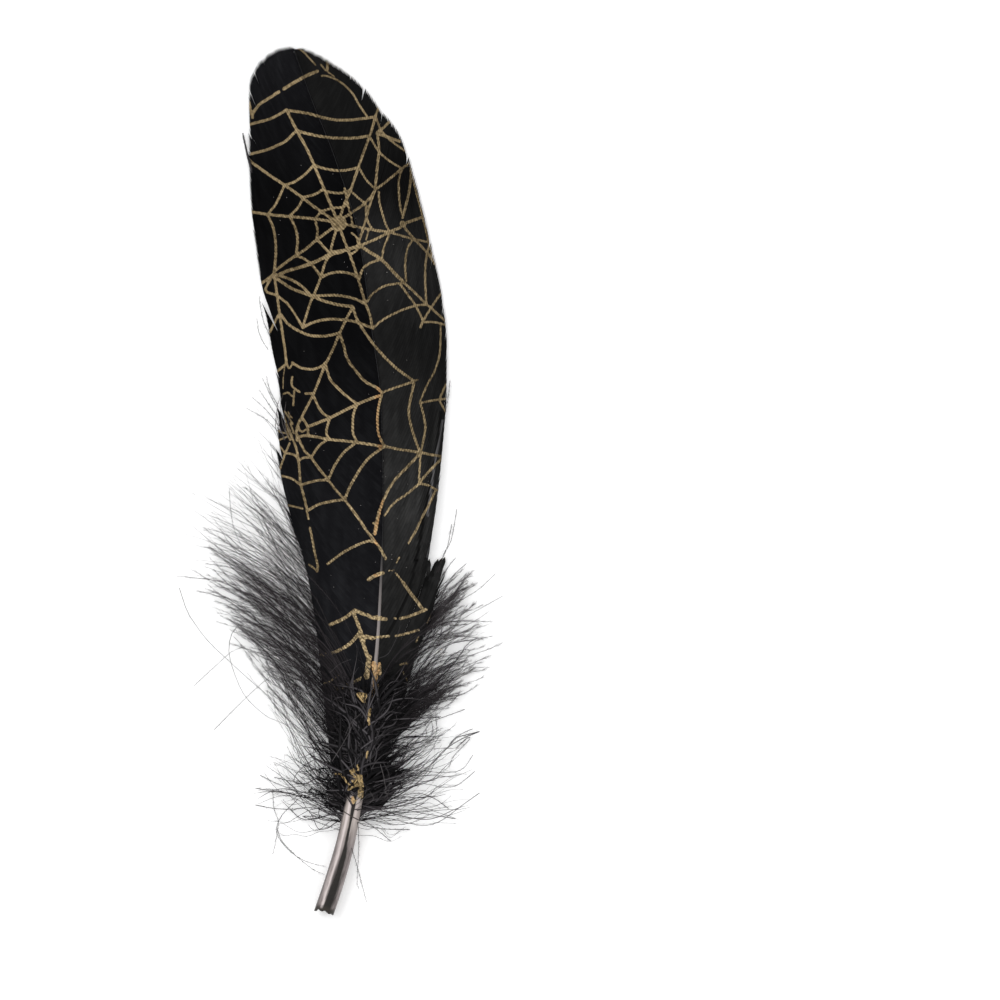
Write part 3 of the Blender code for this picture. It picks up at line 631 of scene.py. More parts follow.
def stations(roots, rows, bow, reach, strokes):
    """Shares of the way along each barb, closer together where the edge of a stroke is."""
    even = np.linspace(0, 1, FINE_STATIONS)[None] * reach[:, None]
    plan = barb_points(roots, rows, bow, even)[..., :2]
    seen = np.abs(inside_strokes(plan.reshape(-1, 2), strokes)).reshape(len(roots), -1)
    travelled = np.cumsum(1 + 5 * np.exp(-((seen / 0.3) ** 2)), axis=1)
    wanted = np.linspace(0, 1, BARB_STATIONS)
    way = (travelled - travelled[:, :1]) / (travelled[:, -1:] - travelled[:, :1])
    return np.stack([np.interp(wanted, one_way, places) for one_way, places in zip(way, even)])


def ribbons(middle, across, pitch, to_end):
    """Four corners round each station: an edge, the ridge above, an edge, the ridge below."""
    taper = np.clip(to_end / TIP_TAPER, 0.05, 1) ** 0.8
    half = pitch * 0.58 * taper
    ridge = np.minimum(RIDGE_UP, half) * taper
    out = across * half[..., None]
    side = np.concatenate((out, 0 * out[..., :1]), axis=-1)
    down = np.stack((0 * half, 0 * half, -0.005 * taper), axis=-1)
    up = np.stack((0 * ridge, 0 * ridge, ridge), axis=-1)
    below = up * RIDGE_DOWN / RIDGE_UP
    corners = (middle - side + down, middle + up, middle + side + down, middle - below)
    return np.stack(corners, axis=2)


def build_vane(rows, bow, splits, fold, creases, seed):
    """One vane as mesh data: (corners, triangles, texture corners, marks)."""
    rng = np.random.default_rng(seed)
    roots = even_roots(rows, bow, BARB_PITCH)
    count = len(roots)
    order = np.arange(count)
    bundle_ends = np.cumsum(rng.integers(*BUNDLE, count))
    bundle = np.searchsorted(bundle_ends, order, side="right")
    members = np.bincount(bundle)
    centre = (np.bincount(bundle, order) / np.maximum(members, 1))[bundle]
    off_centre = (order - centre) / np.maximum(members[bundle] / 2, 1)

    # How long each barb is, and how much of it has worn off.
    full = barb_points(roots, rows, bow, np.broadcast_to(np.linspace(0, 1, 9), (count, 9)))
    length = np.linalg.norm(np.diff(full, axis=1), axis=-1).sum(axis=1)
    toothed = 0.3 + 0.25 * ease(40.0, 56.0, roots)
    worn = rng.uniform(0, 0.5, count) + 0.35 * off_centre**2 * rng.uniform(0.2, 1.0, count)
    reach = 1 - np.minimum(toothed * worn / length, 0.3)
    share = stations(roots, rows, bow, reach, (*THREADS, *creases))
    middle = barb_points(roots, rows, bow, share)
    to_end = (1 - share / reach[:, None]) * length[:, None]

    # How wide it is: as wide as the distance to the next barb.
    along = np.gradient(middle[..., :2], axis=1)
    along /= np.linalg.norm(along, axis=-1, keepdims=True)
    across = np.stack((-along[..., 1], along[..., 0]), axis=-1)
    next_barb = barb_points(roots + 0.05, rows, bow, share)[..., :2] - middle[..., :2]
    next_root = (np.gradient(roots) / 0.05)[:, None]
    sideways = (next_barb * across).sum(-1) * next_root
    pitch = np.clip(np.abs(sideways), 0.12, 0.75)

    # Bundles lean together near the margin, slits open, and each bundle lies a little higher
    # or lower than the next.
    lean = rng.uniform(0.02, 0.2, len(members))[bundle] * toothed * ease(66.0, 50.0, roots)
    shift = (centre - order)[:, None] * pitch * lean[:, None] * share**9
    for place, depth, width in splits:
        after = np.sign(roots - place)
        near = np.exp(-np.abs(roots - place) / 1.6)
        shift += (after * near * width / 2)[:, None] * ease(depth, 0, to_end)
    middle[..., :2] += across * (shift * np.sign(sideways))[..., None]
    lift = rng.normal(0, 0.05, len(members))[bundle] + rng.normal(0, 0.015, count)
    middle[..., 2] += lift[:, None] * ease(0.05, 0.5, share)
    middle[..., 2] += fold(middle)

    rings = ribbons(middle, across, pitch, to_end)
    paint = inside_strokes(rings[:, :, :3, :2].reshape(-1, 2), THREADS).reshape(count, -1, 3)
    paint = np.concatenate((paint, np.full((count, BARB_STATIONS, 1), -UNPAINTED)), axis=2)
    spine = middle[..., :2].reshape(-1, 2)
    # Crease lines carry painted shade or a painted shine, and rust lines the orange gold.
    drawn = {"rust": RUST, "painted_crease_shade": creases[:CREASES_WITH_PAINTED_SHADE], "painted_shine": creases[CREASES_WITH_PAINTED_SHADE:]}
    inside = {key: inside_strokes(spine, lines).reshape(count, -1, 1) for key, lines in drawn.items()}
    return as_tubes(
        rings,
        paint=paint,
        ridge=np.array((0.0, 1.0, 0.0, -1.0)),
        barb=rng.random(count)[:, None, None],
        bundle=rng.random(len(members))[bundle][:, None, None],
        run=(share * length[:, None])[..., None],
        to_end=to_end[..., None],
        **inside,
    )


def no_fold(points):
    return 0 * points[..., 2]


# Slits in the margins: y where the slit's barb leaves the shaft, its depth and its width.
LEFT_SLITS = (
    (-29.5, 3.0, 0.5),
    (-22.0, 3.2, 0.9),
    (-18.0, 2.6, 0.5),
    (-14.0, 4.6, 1.0),
    (-8.0, 2.2, 0.4),
    (2.6, 7.8, 1.1),
    (15.0, 1.6, 0.3),
    (33.0, 2.2, 0.4),
)
left_vane = make_piece(
    "left_vane",
    "feather",
    *build_vane(LEFT_BARBS, LEFT_BOW, splits=LEFT_SLITS, fold=no_fold, creases=(), seed=3),
)
left_vane.data.shade_flat()

# %% [markdown]
# ## The folds of the right vane
#
# The right vane is pressed up near its lower margin, so long shallow pleats run beside the
# margin there. They are waves across the barbs that fade out upwards. Both vanes are shaded
# flat, because a barb has only four sides, and smooth shading would smear the light from
# one side to the next.

# %% Right vane
# Lines of the folds: half width, then the points they run through. The first get painted
# shade, and the others a painted shine.
CREASES = (
    (0.22, (18.6, 11.3), (17.7, 6.8), (16.4, 1.3)),
    (0.28, (18.1, 12.7), (17.2, 5.3), (16.2, -0.6), (15.1, -6.3), (12.3, -20.3), (9.4, -26.8), (8.1, -29.6)),
    (0.30, (18.0, -15.4), (15.8, -18.9), (13.2, -23.0)),
    (0.17, (18.5, 11.2), (17.8, 7.2), (17.0, 3.2), (16.4, -1.0), (15.6, -7.0)),
    (0.10, (17.4, -1.1), (17.4, -6.6), (16.4, -11.6), (15.4, -15.0)),
)
# Crests of the pleats, by the distance from the margin in mm: place, half width and height.
PLEATS = ((1.0, 0.35, 0.35), (2.1, 0.45, -0.30), (3.4, 0.5, 0.30), (5.6, 0.8, -0.22))
MARGIN_Y = [row[2] for row in RIGHT_BARBS if row[1] > 12]
MARGIN_X = [row[1] for row in RIGHT_BARBS if row[1] > 12]


def right_fold(points):
    """How far the pleats lift each point."""
    order = np.argsort(MARGIN_Y)
    margin = np.interp(points[..., 1], np.array(MARGIN_Y)[order], np.array(MARGIN_X)[order])
    inward = margin - points[..., 0]
    strength = ease(22.0, 2.0, points[..., 1]) * ease(-34.0, -14.0, points[..., 1])
    wave = sum(height * np.exp(-(((inward - place) / half) ** 2)) for place, half, height in PLEATS)
    return wave * strength


RIGHT_SLITS = (
    (-44.0, 3.0, 0.7),
    (-41.9, 4.0, 0.9),
    (-40.6, 3.4, 1.0),
    (-39.2, 2.4, 0.6),
    (-30.0, 1.4, 0.3),
    (-12.0, 1.4, 0.3),
    (14.0, 1.6, 0.3),
    (36.0, 2.2, 0.5),
    (59.3, 3.4, 0.5),
    (65.2, 1.4, 0.22),
)
right_vane = make_piece(
    "right_vane",
    "feather",
    *build_vane(
        RIGHT_BARBS, RIGHT_BOW, splits=RIGHT_SLITS, fold=right_fold, creases=CREASES, seed=5
    ),
)
right_vane.data.shade_flat()

# %% [markdown]
# ## The shaft
#
# The quill is round and hollow. Further up it is the rachis: the barbs leave it just under
# its top, so from above only a narrow back ridge shows, and from below it is a broad rib
# with a groove. One tube runs in along the bore, turns at the torn end and runs up the
# outside, and its section changes slowly from the round one to the ridged one.

# %% Build the shaft
SHAFT_TOP_POINTS, SHAFT_LOW_POINTS = 15, 7
RING_STEP = 0.6
QUILL_WALL = 0.45
QUILL_END = -83.03  # y that no torn point goes past
TORN_RINGS = 3
# Half the width of the bare back ridge that shows between the vanes, by y.
RIDGE_HALF = (
    (-66.0, 0.9),
    (-45.0, 0.50),
    (-30.0, 0.27),
    (-17.0, 0.18),
    (-10.0, 0.05),
    (0.0, 0.02),
    (14.0, 0.02),
    (24.0, 0.05),
    (82.0, 0.04),
)
# The bore: how far in a ring lies, and its size as a share of the bore's full width.
BORE = ((7.0, 0.03), (6.7, 0.3), (4.9, 0.85), (2.5, 0.97), (0.4, 1.0), (0.05, 1.05))
# Where the torn end stands out: direction round the quill in degrees (0 right, 90 top), how
# many degrees it spreads, and by how much.
TORN = (
    (168, 20, 0.70),
    (138, 9, -0.35),
    (112, 12, 0.20),
    (84, 10, -0.45),
    (60, 9, 0.35),
    (38, 8, -0.20),
    (15, 10, 0.40),
    (215, 18, -0.25),
    (300, 40, 0.25),
)


def round_section():
    top = np.linspace(0, math.pi, SHAFT_TOP_POINTS)
    low = np.linspace(math.pi, 2 * math.pi, SHAFT_LOW_POINTS + 2)[1:-1]
    return np.concatenate((top, low))


def ridged_section(half, depth, ridge):
    """Places across and heights below the top, for the part that carries barbs."""
    shoulder = half * 0.8
    slope = (shoulder + ridge + 0.1) / 2
    steps = (half, half * 0.95, shoulder, slope, ridge + 0.06, ridge, ridge * 0.6)
    right = np.stack(steps, axis=-1)
    across = np.concatenate((right, 0 * right[..., :1], -right[..., ::-1]), axis=-1)
    by_ridge = [0 * depth + below for below in (0.60, 0.52, 0.46, 0.2, 0.07)]
    fall = np.stack([depth * 0.5, depth * 0.36, *by_ridge], axis=-1)
    height = np.concatenate((fall, 0 * fall[..., :1], fall[..., ::-1]), axis=-1)
    low = half[..., None] * np.array((-0.92, -0.72, -0.42, 0.0, 0.42, 0.72, 0.92))
    under = depth[..., None] * np.array((0.68, 0.9, 1.0, 0.9, 1.0, 0.9, 0.68))
    return np.concatenate((across, low), axis=-1), np.concatenate((height, under), axis=-1)


def torn_edge(angle):
    """How far the torn end of the quill stands out, round its edge."""
    degrees = np.degrees(angle)
    torn = sum(
        height * np.exp(-((((degrees - place + 180) % 360 - 180) / spread) ** 2))
        for place, spread, height in TORN
    )
    return torn - 0.12 * np.sin(7 * angle)


def bore_rings(end, along, sideways, radii, middle, angle):
    """Rings of the hollow inside, from its deepest end out to the torn edge."""
    torn = torn_edge(angle)
    rings = []
    for inward, share in BORE:
        across, up = (np.array(radii) - QUILL_WALL) * share
        rim = torn * (1 - min(inward / 2, 1))
        start = end + along * inward
        ring = start + sideways * (across * np.cos(angle))[:, None] - along * rim[:, None]
        height = middle + up * np.sin(angle)
        rings.append(np.concatenate((ring, height[:, None]), axis=1))
    return np.array(rings)


def build_shaft():
    """The shaft as mesh data: one tube, in along the bore and back up the outside."""
    angle = round_section()
    y = np.arange(SHAFT[0][1], SHAFT[-1][1], RING_STEP)
    x, top, width, depth = shaft_at(y)
    half = width / 2
    ridge = np.minimum(read_rows(RIDGE_HALF, y)[:, 0], half * 0.7)
    ridged_across, ridged_fall = ridged_section(half, depth, ridge)
    round_across = half[:, None] * np.cos(angle)
    round_fall = depth[:, None] / 2 * (1 - np.sin(angle))
    ridged = ease(-63.0, -52.0, y)[:, None]
    across = round_across + (ridged_across - round_across) * ridged
    fall = round_fall + (ridged_fall - round_fall) * ridged

    centre = np.stack((x, y), axis=-1)
    along = np.gradient(centre, axis=0)
    along[:TORN_RINGS] = along[TORN_RINGS]
    along /= np.linalg.norm(along, axis=1, keepdims=True)
    sideways = np.stack((along[:, 1], -along[:, 0]), axis=-1)
    plan = centre[:, None] + sideways[:, None] * across[..., None]
    outer = np.concatenate((plan, (top[:, None] - fall)[..., None]), axis=-1)
    for ring in range(TORN_RINGS):
        outer[ring, :, :2] -= along[0] * (torn_edge(angle) * (1 - ring / TORN_RINGS))[:, None]
    radii = (half[0], depth[0] / 2)
    inner = bore_rings(centre[0], along[0], sideways[0], radii, top[0] - depth[0] / 2, angle)

    rings = np.concatenate((inner, outer))
    rings[..., 1] = np.maximum(rings[..., 1], QUILL_END)
    flat = rings[..., :2].reshape(-1, 2)
    is_inner = np.arange(len(rings)) < len(BORE)
    is_painted = ~is_inner[:, None] & (np.sin(angle) > 0.05)
    paint = inside_strokes(flat, THREADS).reshape(rings.shape[:2])
    bore_across = np.repeat(np.cos(angle)[None], len(BORE), 0)
    bore_place = y[0] + np.array([row[0] for row in BORE])
    return as_tubes(
        rings[None],
        paint=np.where(is_painted, paint, -UNPAINTED)[None],
        across=np.concatenate((bore_across, across / half[:, None]))[None],
        place=np.concatenate((bore_place, y))[None, :, None],
        rust=inside_strokes(flat, RUST).reshape(rings.shape[:2])[None],
        inner=is_inner.astype(float)[None, :, None],
    )


shaft = make_piece("shaft", "quill", *build_shaft())

# %% [markdown]
# ## Above and below the vanes
#
# Loose strands lie under the vanes or on top of them. Two coarse maps hold the height of
# the vanes' underside and of their top, so that a line can be pressed down or lifted where
# a vane crosses it.

# %% Maps of the vanes' height
GRID = 0.5  # mm: the step of both maps
GRID_START = np.array((-40.0, -90.0))
GRID_CELLS = (160, 360)
NO_VANE = 99.0
FLOOR_GAP, CEILING = 0.06, 7.3  # mm: the lowest and the highest that a loose line may be
BARE_QUILL = -59.8  # y below which nothing lies on top of the quill
TOP_DOWN_Y = -46.0  # y below which down may lie on top of the vanes
underside = np.full(GRID_CELLS, NO_VANE)
topside = np.full(GRID_CELLS, -NO_VANE)


def map_heights(piece, low_y):
    """Adds a piece to both maps, as far down as low_y."""
    co = np.zeros(len(piece.data.vertices) * 3, np.float32)
    piece.data.vertices.foreach_get("co", co)
    co = co.reshape(-1, 3) / MM
    co = co[co[:, 1] > low_y]
    cell = np.floor((co[:, :2] - GRID_START) / GRID).astype(int)
    for right in (-1, 0, 1):
        for up in (-1, 0, 1):
            near = (cell[:, 0] + right, cell[:, 1] + up)
            np.minimum.at(underside, near, co[:, 2])
            np.maximum.at(topside, near, co[:, 2])


for vane in (left_vane, right_vane):
    map_heights(vane, low_y=GRID_START[1])


def heights_at(lines, chart):
    """Reads a map at every point of the lines."""
    cell = np.floor((lines[..., :2] - GRID_START) / GRID).astype(int)
    column, row = np.moveaxis(np.clip(cell, 0, np.array(GRID_CELLS) - 1), -1, 0)
    return chart[column, row]


def press_under(lines, clearance=0.12):
    """Presses the lines down where a vane lies over them."""
    height = np.minimum(lines[..., 2], heights_at(lines, underside) - clearance)
    for _ in range(2):
        height[:, 1:-1] = np.minimum(height[:, 1:-1], (height[:, :-2] + height[:, 2:]) / 2 + 0.25)
    lines[..., 2] = np.maximum(height, FLOOR_GAP)
    return lines


def lift_over(lines, clearance):
    """Lifts the lines where a vane or the shaft lies under them."""
    height = np.maximum(lines[..., 2], heights_at(lines, topside) + clearance[:, None])
    for _ in range(2):
        height[:, 1:-1] = np.maximum(height[:, 1:-1], (height[:, :-2] + height[:, 2:]) / 2 - 0.2)
    lines[..., 2] = np.minimum(height, CEILING)
    return lines


print("cells under the vanes:", int((underside < NO_VANE).sum()))

# %% [markdown]
# ## Strands and barbules
#
# A strand of down follows a curve with waves laid over it. A barbule is a needle with three
# sides that slants off a strand towards its tip. Barbules are too thin to see one by one,
# but together they make the grey haze round the black. A plume is a flat strand that is
# dark at its edges with a painted highlight along its middle, so it reads as a soft tuft.

# %% Strands and barbules
STRAND_STATIONS = 22


def strand_lines(start, tip, bow, lift, waves):
    """Curved lines (strands, stations, 3). Each wave is (height, turns, phase) by strand."""
    share = np.linspace(0, 1, STRAND_STATIONS)[None, :, None]
    chord = tip - start
    side = np.sign(chord[:, :1])
    outward = np.stack((chord[:, 1], -chord[:, 0], 0 * chord[:, 0]), axis=-1) * side * bow[:, None]
    middle = start + chord / 2 + outward
    middle[:, 2] += lift
    lines = bezier(start[:, None], middle[:, None], tip[:, None], share)
    across = np.stack((-chord[:, 1], chord[:, 0]), axis=-1)
    across /= np.linalg.norm(across, axis=1, keepdims=True)
    for height, turns, phase in waves:
        angle = turns[:, None] * 2 * math.pi * share[..., 0] + phase[:, None]
        swing = height[:, None] * (np.sin(angle) - np.sin(phase)[:, None]) * share[..., 0] ** 1.2
        lines[..., :2] += across[:, None] * swing[..., None]
    return lines


def random_wave(rng, count, height, turns):
    """A wave with its own height, turns and phase for each of the strands."""
    return rng.uniform(*height, count), rng.uniform(*turns, count), rng.uniform(0, 6.28, count)


def strand_tubes(lines, radius, rng, sides=3, dark=0.0):
    """Tapered tubes along the lines."""
    share = np.linspace(0, 1, lines.shape[1])
    size = radius[:, None] * (1 - 0.5 * share) * (1 - 0.6 * ease(0.9, 1.0, share))
    rank = (np.argsort(np.argsort(radius)) + rng.random(len(radius))) / len(radius)
    return as_tubes(
        sweep(lines, size, sides),
        share=share[None, :, None],
        strand=rank[:, None, None],
        dark=np.full(len(lines), dark)[:, None, None],
        soft=np.ones(sides),
    )


def plumes(lines, half, rng, dark=1.0):
    """Flat strands with soft edges: the mark soft is 1 along the painted highlight in the middle, 0 at the
    edges.
    """
    share = np.linspace(0, 1, lines.shape[1])
    along = np.gradient(lines, axis=1)
    along /= np.linalg.norm(along, axis=-1, keepdims=True) + 1e-9
    across = np.stack((-along[..., 1], along[..., 0], 0 * along[..., 0]), axis=-1)
    swell = ease(0.0, 0.25, share) * ease(1.0, 0.45, share) + 0.06
    wide = across * (half[:, None] * swell)[..., None]
    thick = np.array((0.0, 0.0, 0.05))
    rings = np.stack((lines - wide, lines + thick, lines + wide, lines - thick), axis=2)
    return as_tubes(
        rings,
        share=share[None, :, None],
        strand=rng.uniform(0.4, 1.0, len(lines))[:, None, None],
        dark=np.full(len(lines), dark)[:, None, None],
        soft=np.array((0.0, 1.0, 0.0, 0.0)),
    )


def barbules(lines, count, length, rng, first=0.12, width=0.022, dark=0.0, slant=0.8, weight=None):
    """Needles that stand off the lines, as mesh data. A line's weight draws more of them."""
    if weight is not None:
        weight = weight / weight.sum()
    pick = rng.choice(len(lines), count, p=weight)
    at = first + (0.99 - first) * rng.random(count) ** 0.85
    station = at * (lines.shape[1] - 1)
    k = np.minimum(station.astype(int), lines.shape[1] - 2)
    part = (station - k)[:, None]
    base = lines[pick, k] * (1 - part) + lines[pick, k + 1] * part
    along = lines[pick, k + 1] - lines[pick, k]
    along /= np.linalg.norm(along, axis=1, keepdims=True) + 1e-9
    turn = rng.uniform(0.06, slant, count) * rng.choice((-1.0, 1.0), count)
    cos, sin = np.cos(turn), np.sin(turn)
    way = np.stack(
        (along[:, 0] * cos - along[:, 1] * sin, along[:, 0] * sin + along[:, 1] * cos, along[:, 2]),
        axis=-1,
    )
    way[:, 2] += rng.normal(0, 0.18, count)
    reach = length * rng.uniform(0.5, 1.15, count) * (1 - 0.45 * at)
    tip = base + way * reach[:, None]
    across = np.stack((-way[:, 1], way[:, 0], 0 * at), axis=-1)
    across /= np.linalg.norm(across, axis=1, keepdims=True)
    low = np.array((0.0, 0.0, -width * 0.5))
    corners = np.stack(
        (base + across * width / 2, base - across * width / 2, base + low, tip), axis=1
    )
    first_corner = np.arange(count)[:, None, None] * 4
    faces = np.array(((0, 1, 3), (1, 2, 3), (2, 0, 3), (0, 2, 1)))
    side = math.ceil(math.sqrt(count))
    cell = np.stack((np.arange(count) % side, np.arange(count) // side), axis=-1)
    shape = np.array(((0.2, 0.2), (0.8, 0.2), (0.5, 0.8)))
    uv = (cell[:, None, None] + shape) / side
    uv = np.broadcast_to(uv, (count, 4, 3, 2)).reshape(-1, 2)
    marks = {
        "share": np.repeat(at, 4),
        "strand": np.repeat(0.75 * rng.random(count), 4),
        "dark": np.full(count * 4, dark),
        "soft": np.ones(count * 4),
    }
    return corners.reshape(-1, 3), (faces[None] + first_corner).reshape(-1, 3), uv, marks


def make_down(name, *parts):
    """Joins strands and needles into a piece, which also learns where the gold drips on it."""
    corners, triangles, uv, marks = join(parts)
    marks["paint"] = inside_strokes(corners[:, :2], FOOT_GOLD)
    return make_piece(name, "down", corners, triangles, uv, marks, lowest=0.01)


sample_wave = random_wave(np.random.default_rng(1), 1, (0, 1), (1, 2))
print("a wave of one strand:", [round(float(value[0]), 2) for value in sample_wave])

# %% [markdown]
# ## The down beside the vanes
#
# Below the vanes the barbs have no hooks, so they are loose and downy. They hang together
# in locks: the strands of a lock start side by side on the shaft, share one wavy course and
# part a little at their ends. Where a row is listed as thin, only single hairs stand out.
# The inner locks have tables of their own. The right ones are darker, which the value
# called dark says.

# %% Where the locks of down go
# y where the lock leaves the shaft, x and y of its tip, how far it bows towards the quill
# (a negative bow makes the tip flatten outwards), and how full the row is.
LEFT_DOWN = (
    (-41.0, -27.7, 0.5, -0.15, 0.2),
    (-43.5, -29.6, -6.3, -0.18, 0.7),
    (-46.0, -30.6, -11.1, -0.20, 1.2),
    (-49.5, -30.2, -15.5, -0.22, 1.3),
    (-53.5, -27.6, -20.0, -0.22, 1.1),
    (-57.5, -24.3, -23.6, -0.16, 1.0),
    (-60.5, -20.0, -30.6, -0.02, 0.5),
    (-63.0, -17.0, -40.1, 0.08, 0.22),
    (-64.0, -16.5, -56.5, 0.08, 0.12),
    (-65.5, -12.6, -65.7, 0.06, 0.12),
)
# The locks that stay close to the left vane, in the same columns.
LEFT_INNER = (
    (-40.0, -17.0, 8.0, -0.08, 0.5),
    (-43.0, -19.5, 3.0, -0.12, 0.9),
    (-46.0, -22.0, -3.5, -0.15, 1.0),
    (-50.0, -23.5, -10.0, -0.16, 0.8),
    (-54.0, -22.0, -17.5, -0.14, 0.7),
    (-58.0, -18.5, -25.5, -0.10, 0.8),
    (-61.5, -14.5, -35.0, -0.02, 0.5),
)
# The single hairs above the left down, in the same columns.
LEFT_HAIRS = (
    (-34.0, -15.6, 19.0, -0.02, 0.1),
    (-36.0, -16.6, 12.0, -0.05, 0.1),
    (-37.5, -20.6, 10.6, -0.08, 0.1),
    (-39.0, -26.0, 7.2, -0.13, 0.1),
    (-40.0, -28.6, 2.7, -0.16, 0.1),
    (-41.0, -30.0, -0.4, -0.18, 0.1),
    (-43.0, -30.6, -5.3, -0.20, 0.1),
    (-45.0, -31.0, -9.3, -0.20, 0.1),
)
RIGHT_DOWN = (
    (-41.0, 20.8, -15.2, -0.12, 0.2),
    (-43.0, 24.8, -17.2, -0.18, 1.9),
    (-45.0, 26.4, -18.8, -0.20, 2.1),
    (-48.0, 28.0, -23.0, -0.20, 0.3),
    (-51.0, 30.2, -29.0, -0.20, 0.5),
    (-53.5, 29.0, -30.0, -0.22, 1.1),
    (-56.0, 25.6, -32.6, -0.22, 1.3),
    (-58.5, 21.5, -36.0, -0.19, 1.2),
    (-60.5, 20.7, -43.9, -0.05, 0.3),
    (-61.3, 22.2, -45.9, -0.02, 0.2),
    (-62.0, 24.0, -48.1, 0.00, 0.14),
    (-62.8, 24.0, -52.8, 0.02, 0.14),
    (-63.2, 24.2, -56.4, 0.04, 0.14),
    (-63.5, 24.4, -59.7, 0.06, 0.14),
    (-64.2, 20.2, -64.6, 0.08, 0.16),
    (-65.5, 10.5, -69.3, 0.06, 0.25),
)
# The shorter locks that make the right down dense below its middle.
RIGHT_INNER = (
    (-52.5, 21.5, -33.0, -0.22, 0.6),
    (-54.5, 23.5, -33.4, -0.22, 0.8),
    (-56.5, 22.0, -35.6, -0.21, 0.8),
    (-58.5, 18.5, -38.6, -0.19, 0.8),
)


def lock_courses(rows, locks, rng):
    """Where each lock goes: the rows, read at places that are closer together in full rows."""
    fullness = [row[4] for row in rows]
    filled = np.cumsum([0.0] + [(a + b) / 2 for a, b in zip(fullness, fullness[1:])])
    picked = (np.arange(locks) + rng.random(locks)) / locks * filled[-1]
    return smooth(range(len(rows)), rows, np.interp(picked, filled, np.arange(len(rows))))


def strand_ends(course, lock, thin, rng):
    """Starts and tips of the strands, side by side on the shaft and parted at the tips."""
    locks, count = len(course), len(lock)
    root = course[lock, 0] + rng.normal(0, 0.7, count)
    x, top, _, depth = shaft_at(root)
    start = np.stack((x, root, top - depth * 0.55), axis=-1)
    tip = np.concatenate((course[lock, 1:3], rng.uniform(0.15, 2.0, (count, 1))), axis=1)
    chord = (tip - start)[:, :2]
    across = np.stack((-chord[:, 1], chord[:, 0]), axis=-1)
    across /= np.linalg.norm(across, axis=1, keepdims=True)
    parted = rng.uniform(0.2, 1.3, locks)[lock] * rng.normal(0, 1, count)
    parted = parted + thin * rng.normal(0, 2.0, count)
    tip[:, :2] += across * (parted + rng.normal(0, 1.5, locks)[lock])[:, None]
    reach = rng.uniform(0.85, 1.0, locks)[lock] * rng.uniform(0.7 + 0.2 * thin, 1.0)
    tip[:, :2] = start[:, :2] + (tip - start)[:, :2] * reach[:, None]
    return start, tip


def build_down(rows, locks, strands, needles, over, seed, dark=0.0):
    """The down of one side. The share called over lies on top of the vane."""
    rng = np.random.default_rng(seed)
    course = lock_courses(rows, locks, rng)
    lock = np.repeat(np.arange(locks), strands)
    count = len(lock)
    full = course[lock, 4]
    thin = ease(0.5, 0.15, full)
    start, tip = strand_ends(course, lock, thin, rng)

    bow = course[lock, 3] + rng.normal(0, 0.06, locks)[lock] + rng.normal(0, 0.02, count)
    lift = 2.2 * rng.uniform(0.2, 1.0, count)
    shared = [value[lock] for value in random_wave(rng, locks, (0.3, 1.9), (0.6, 2.0))]
    own = random_wave(rng, count, (0.08, 0.7), (1.0, 3.2))
    lines = strand_lines(start, tip, bow, lift, (shared, own))
    on_top = (rng.random(count) < over) & (start[:, 1] < TOP_DOWN_Y)
    lines[on_top] = lift_over(lines[on_top], rng.uniform(0.1, 0.5, on_top.sum()))
    lines[~on_top] = press_under(lines[~on_top])

    thick = rng.random(count) ** 2
    radius = 0.033 + 0.012 * thin + (0.080 - 0.050 * thin) * thick
    radius *= rng.uniform(0.8, 1.2, locks)[lock]
    needle = {"first": 0.25, "width": 0.030, "slant": 0.55, "dark": dark}
    weight = np.minimum(full, 0.8) * (1 - thin) + 0.02
    return (
        strand_tubes(lines, radius, rng, dark=dark),
        barbules(lines, needles, 2.4, rng, weight=weight, **needle),
    )


left_down = make_down(
    "left_down",
    *build_down(LEFT_DOWN, locks=48, strands=3, needles=22000, over=0.7, seed=14),
    *build_down(LEFT_INNER, locks=38, strands=3, needles=14000, over=0.4, seed=37),
    *build_down(LEFT_HAIRS, locks=84, strands=1, needles=1200, over=0.0, seed=31),
)
right_down = make_down(
    "right_down",
    *build_down(RIGHT_DOWN, locks=66, strands=3, needles=33500, over=0.6, seed=13),
    *build_down(RIGHT_INNER, locks=18, strands=3, needles=7200, over=0.4, seed=61, dark=0.7),
)

# %% [markdown]
# ## The dense down at the foot
#
# Round the top of the quill the down is so dense that it looks black. The crown crosses
# over the shaft and the lowest barbs: thin dark strands fill it, and soft plumes with a
# painted highlight along their middle lie on top. The skirt leaves the quill at its sides,
# so the quill itself stays bare: a short dense pad of plumes, and long thin curls that
# stand out of it.

# %% Down at the foot
CROWN_FILL, CROWN_PLUMES = 480, 170
SKIRT_PAD, SKIRT_CURLS = 410, 190


def fan(count, roots, angles, lengths, away, bend, waves, seed, right_reach=1.25):
    """Lines that fan out from both sides of the shaft, and the generator that drew them.

    They start away from its middle, in widths of the shaft: a positive away starts them all
    beside the shaft, and a negative one spreads them over it.
    """
    rng = np.random.default_rng(seed)
    beside = away > 0
    root = rng.uniform(*roots, count)
    x, top, width, depth = shaft_at(root)
    side = rng.choice((-1.0, 1.0), count)
    steepest = angles[0] + 30 * ease(-55.0, -43.0, root)
    angle = side * np.radians(rng.uniform(steepest, angles[1]))
    length = rng.uniform(*lengths, count) * np.where(side > 0, right_reach, 1.0)
    length *= 1 - 0.4 * ease(-51.0, -40.0, root)
    spread = 1 if beside else rng.random(count)
    below_top = depth * 0.5 if beside else 0.3
    start = np.stack((x + side * away * width * spread, root, top - below_top), axis=-1)
    tip = start + np.stack((np.sin(angle) * length, np.cos(angle) * length, 0 * length), axis=-1)
    tip[:, 2] = rng.uniform(0.4, 2.4, count)
    drawn = [random_wave(rng, count, *wave) for wave in waves]
    lift = rng.uniform(0.3, 1.2, count) * (-0.3 if beside else 1.0)
    return strand_lines(start, tip, rng.normal(bend, 0.13, count), lift, drawn), rng


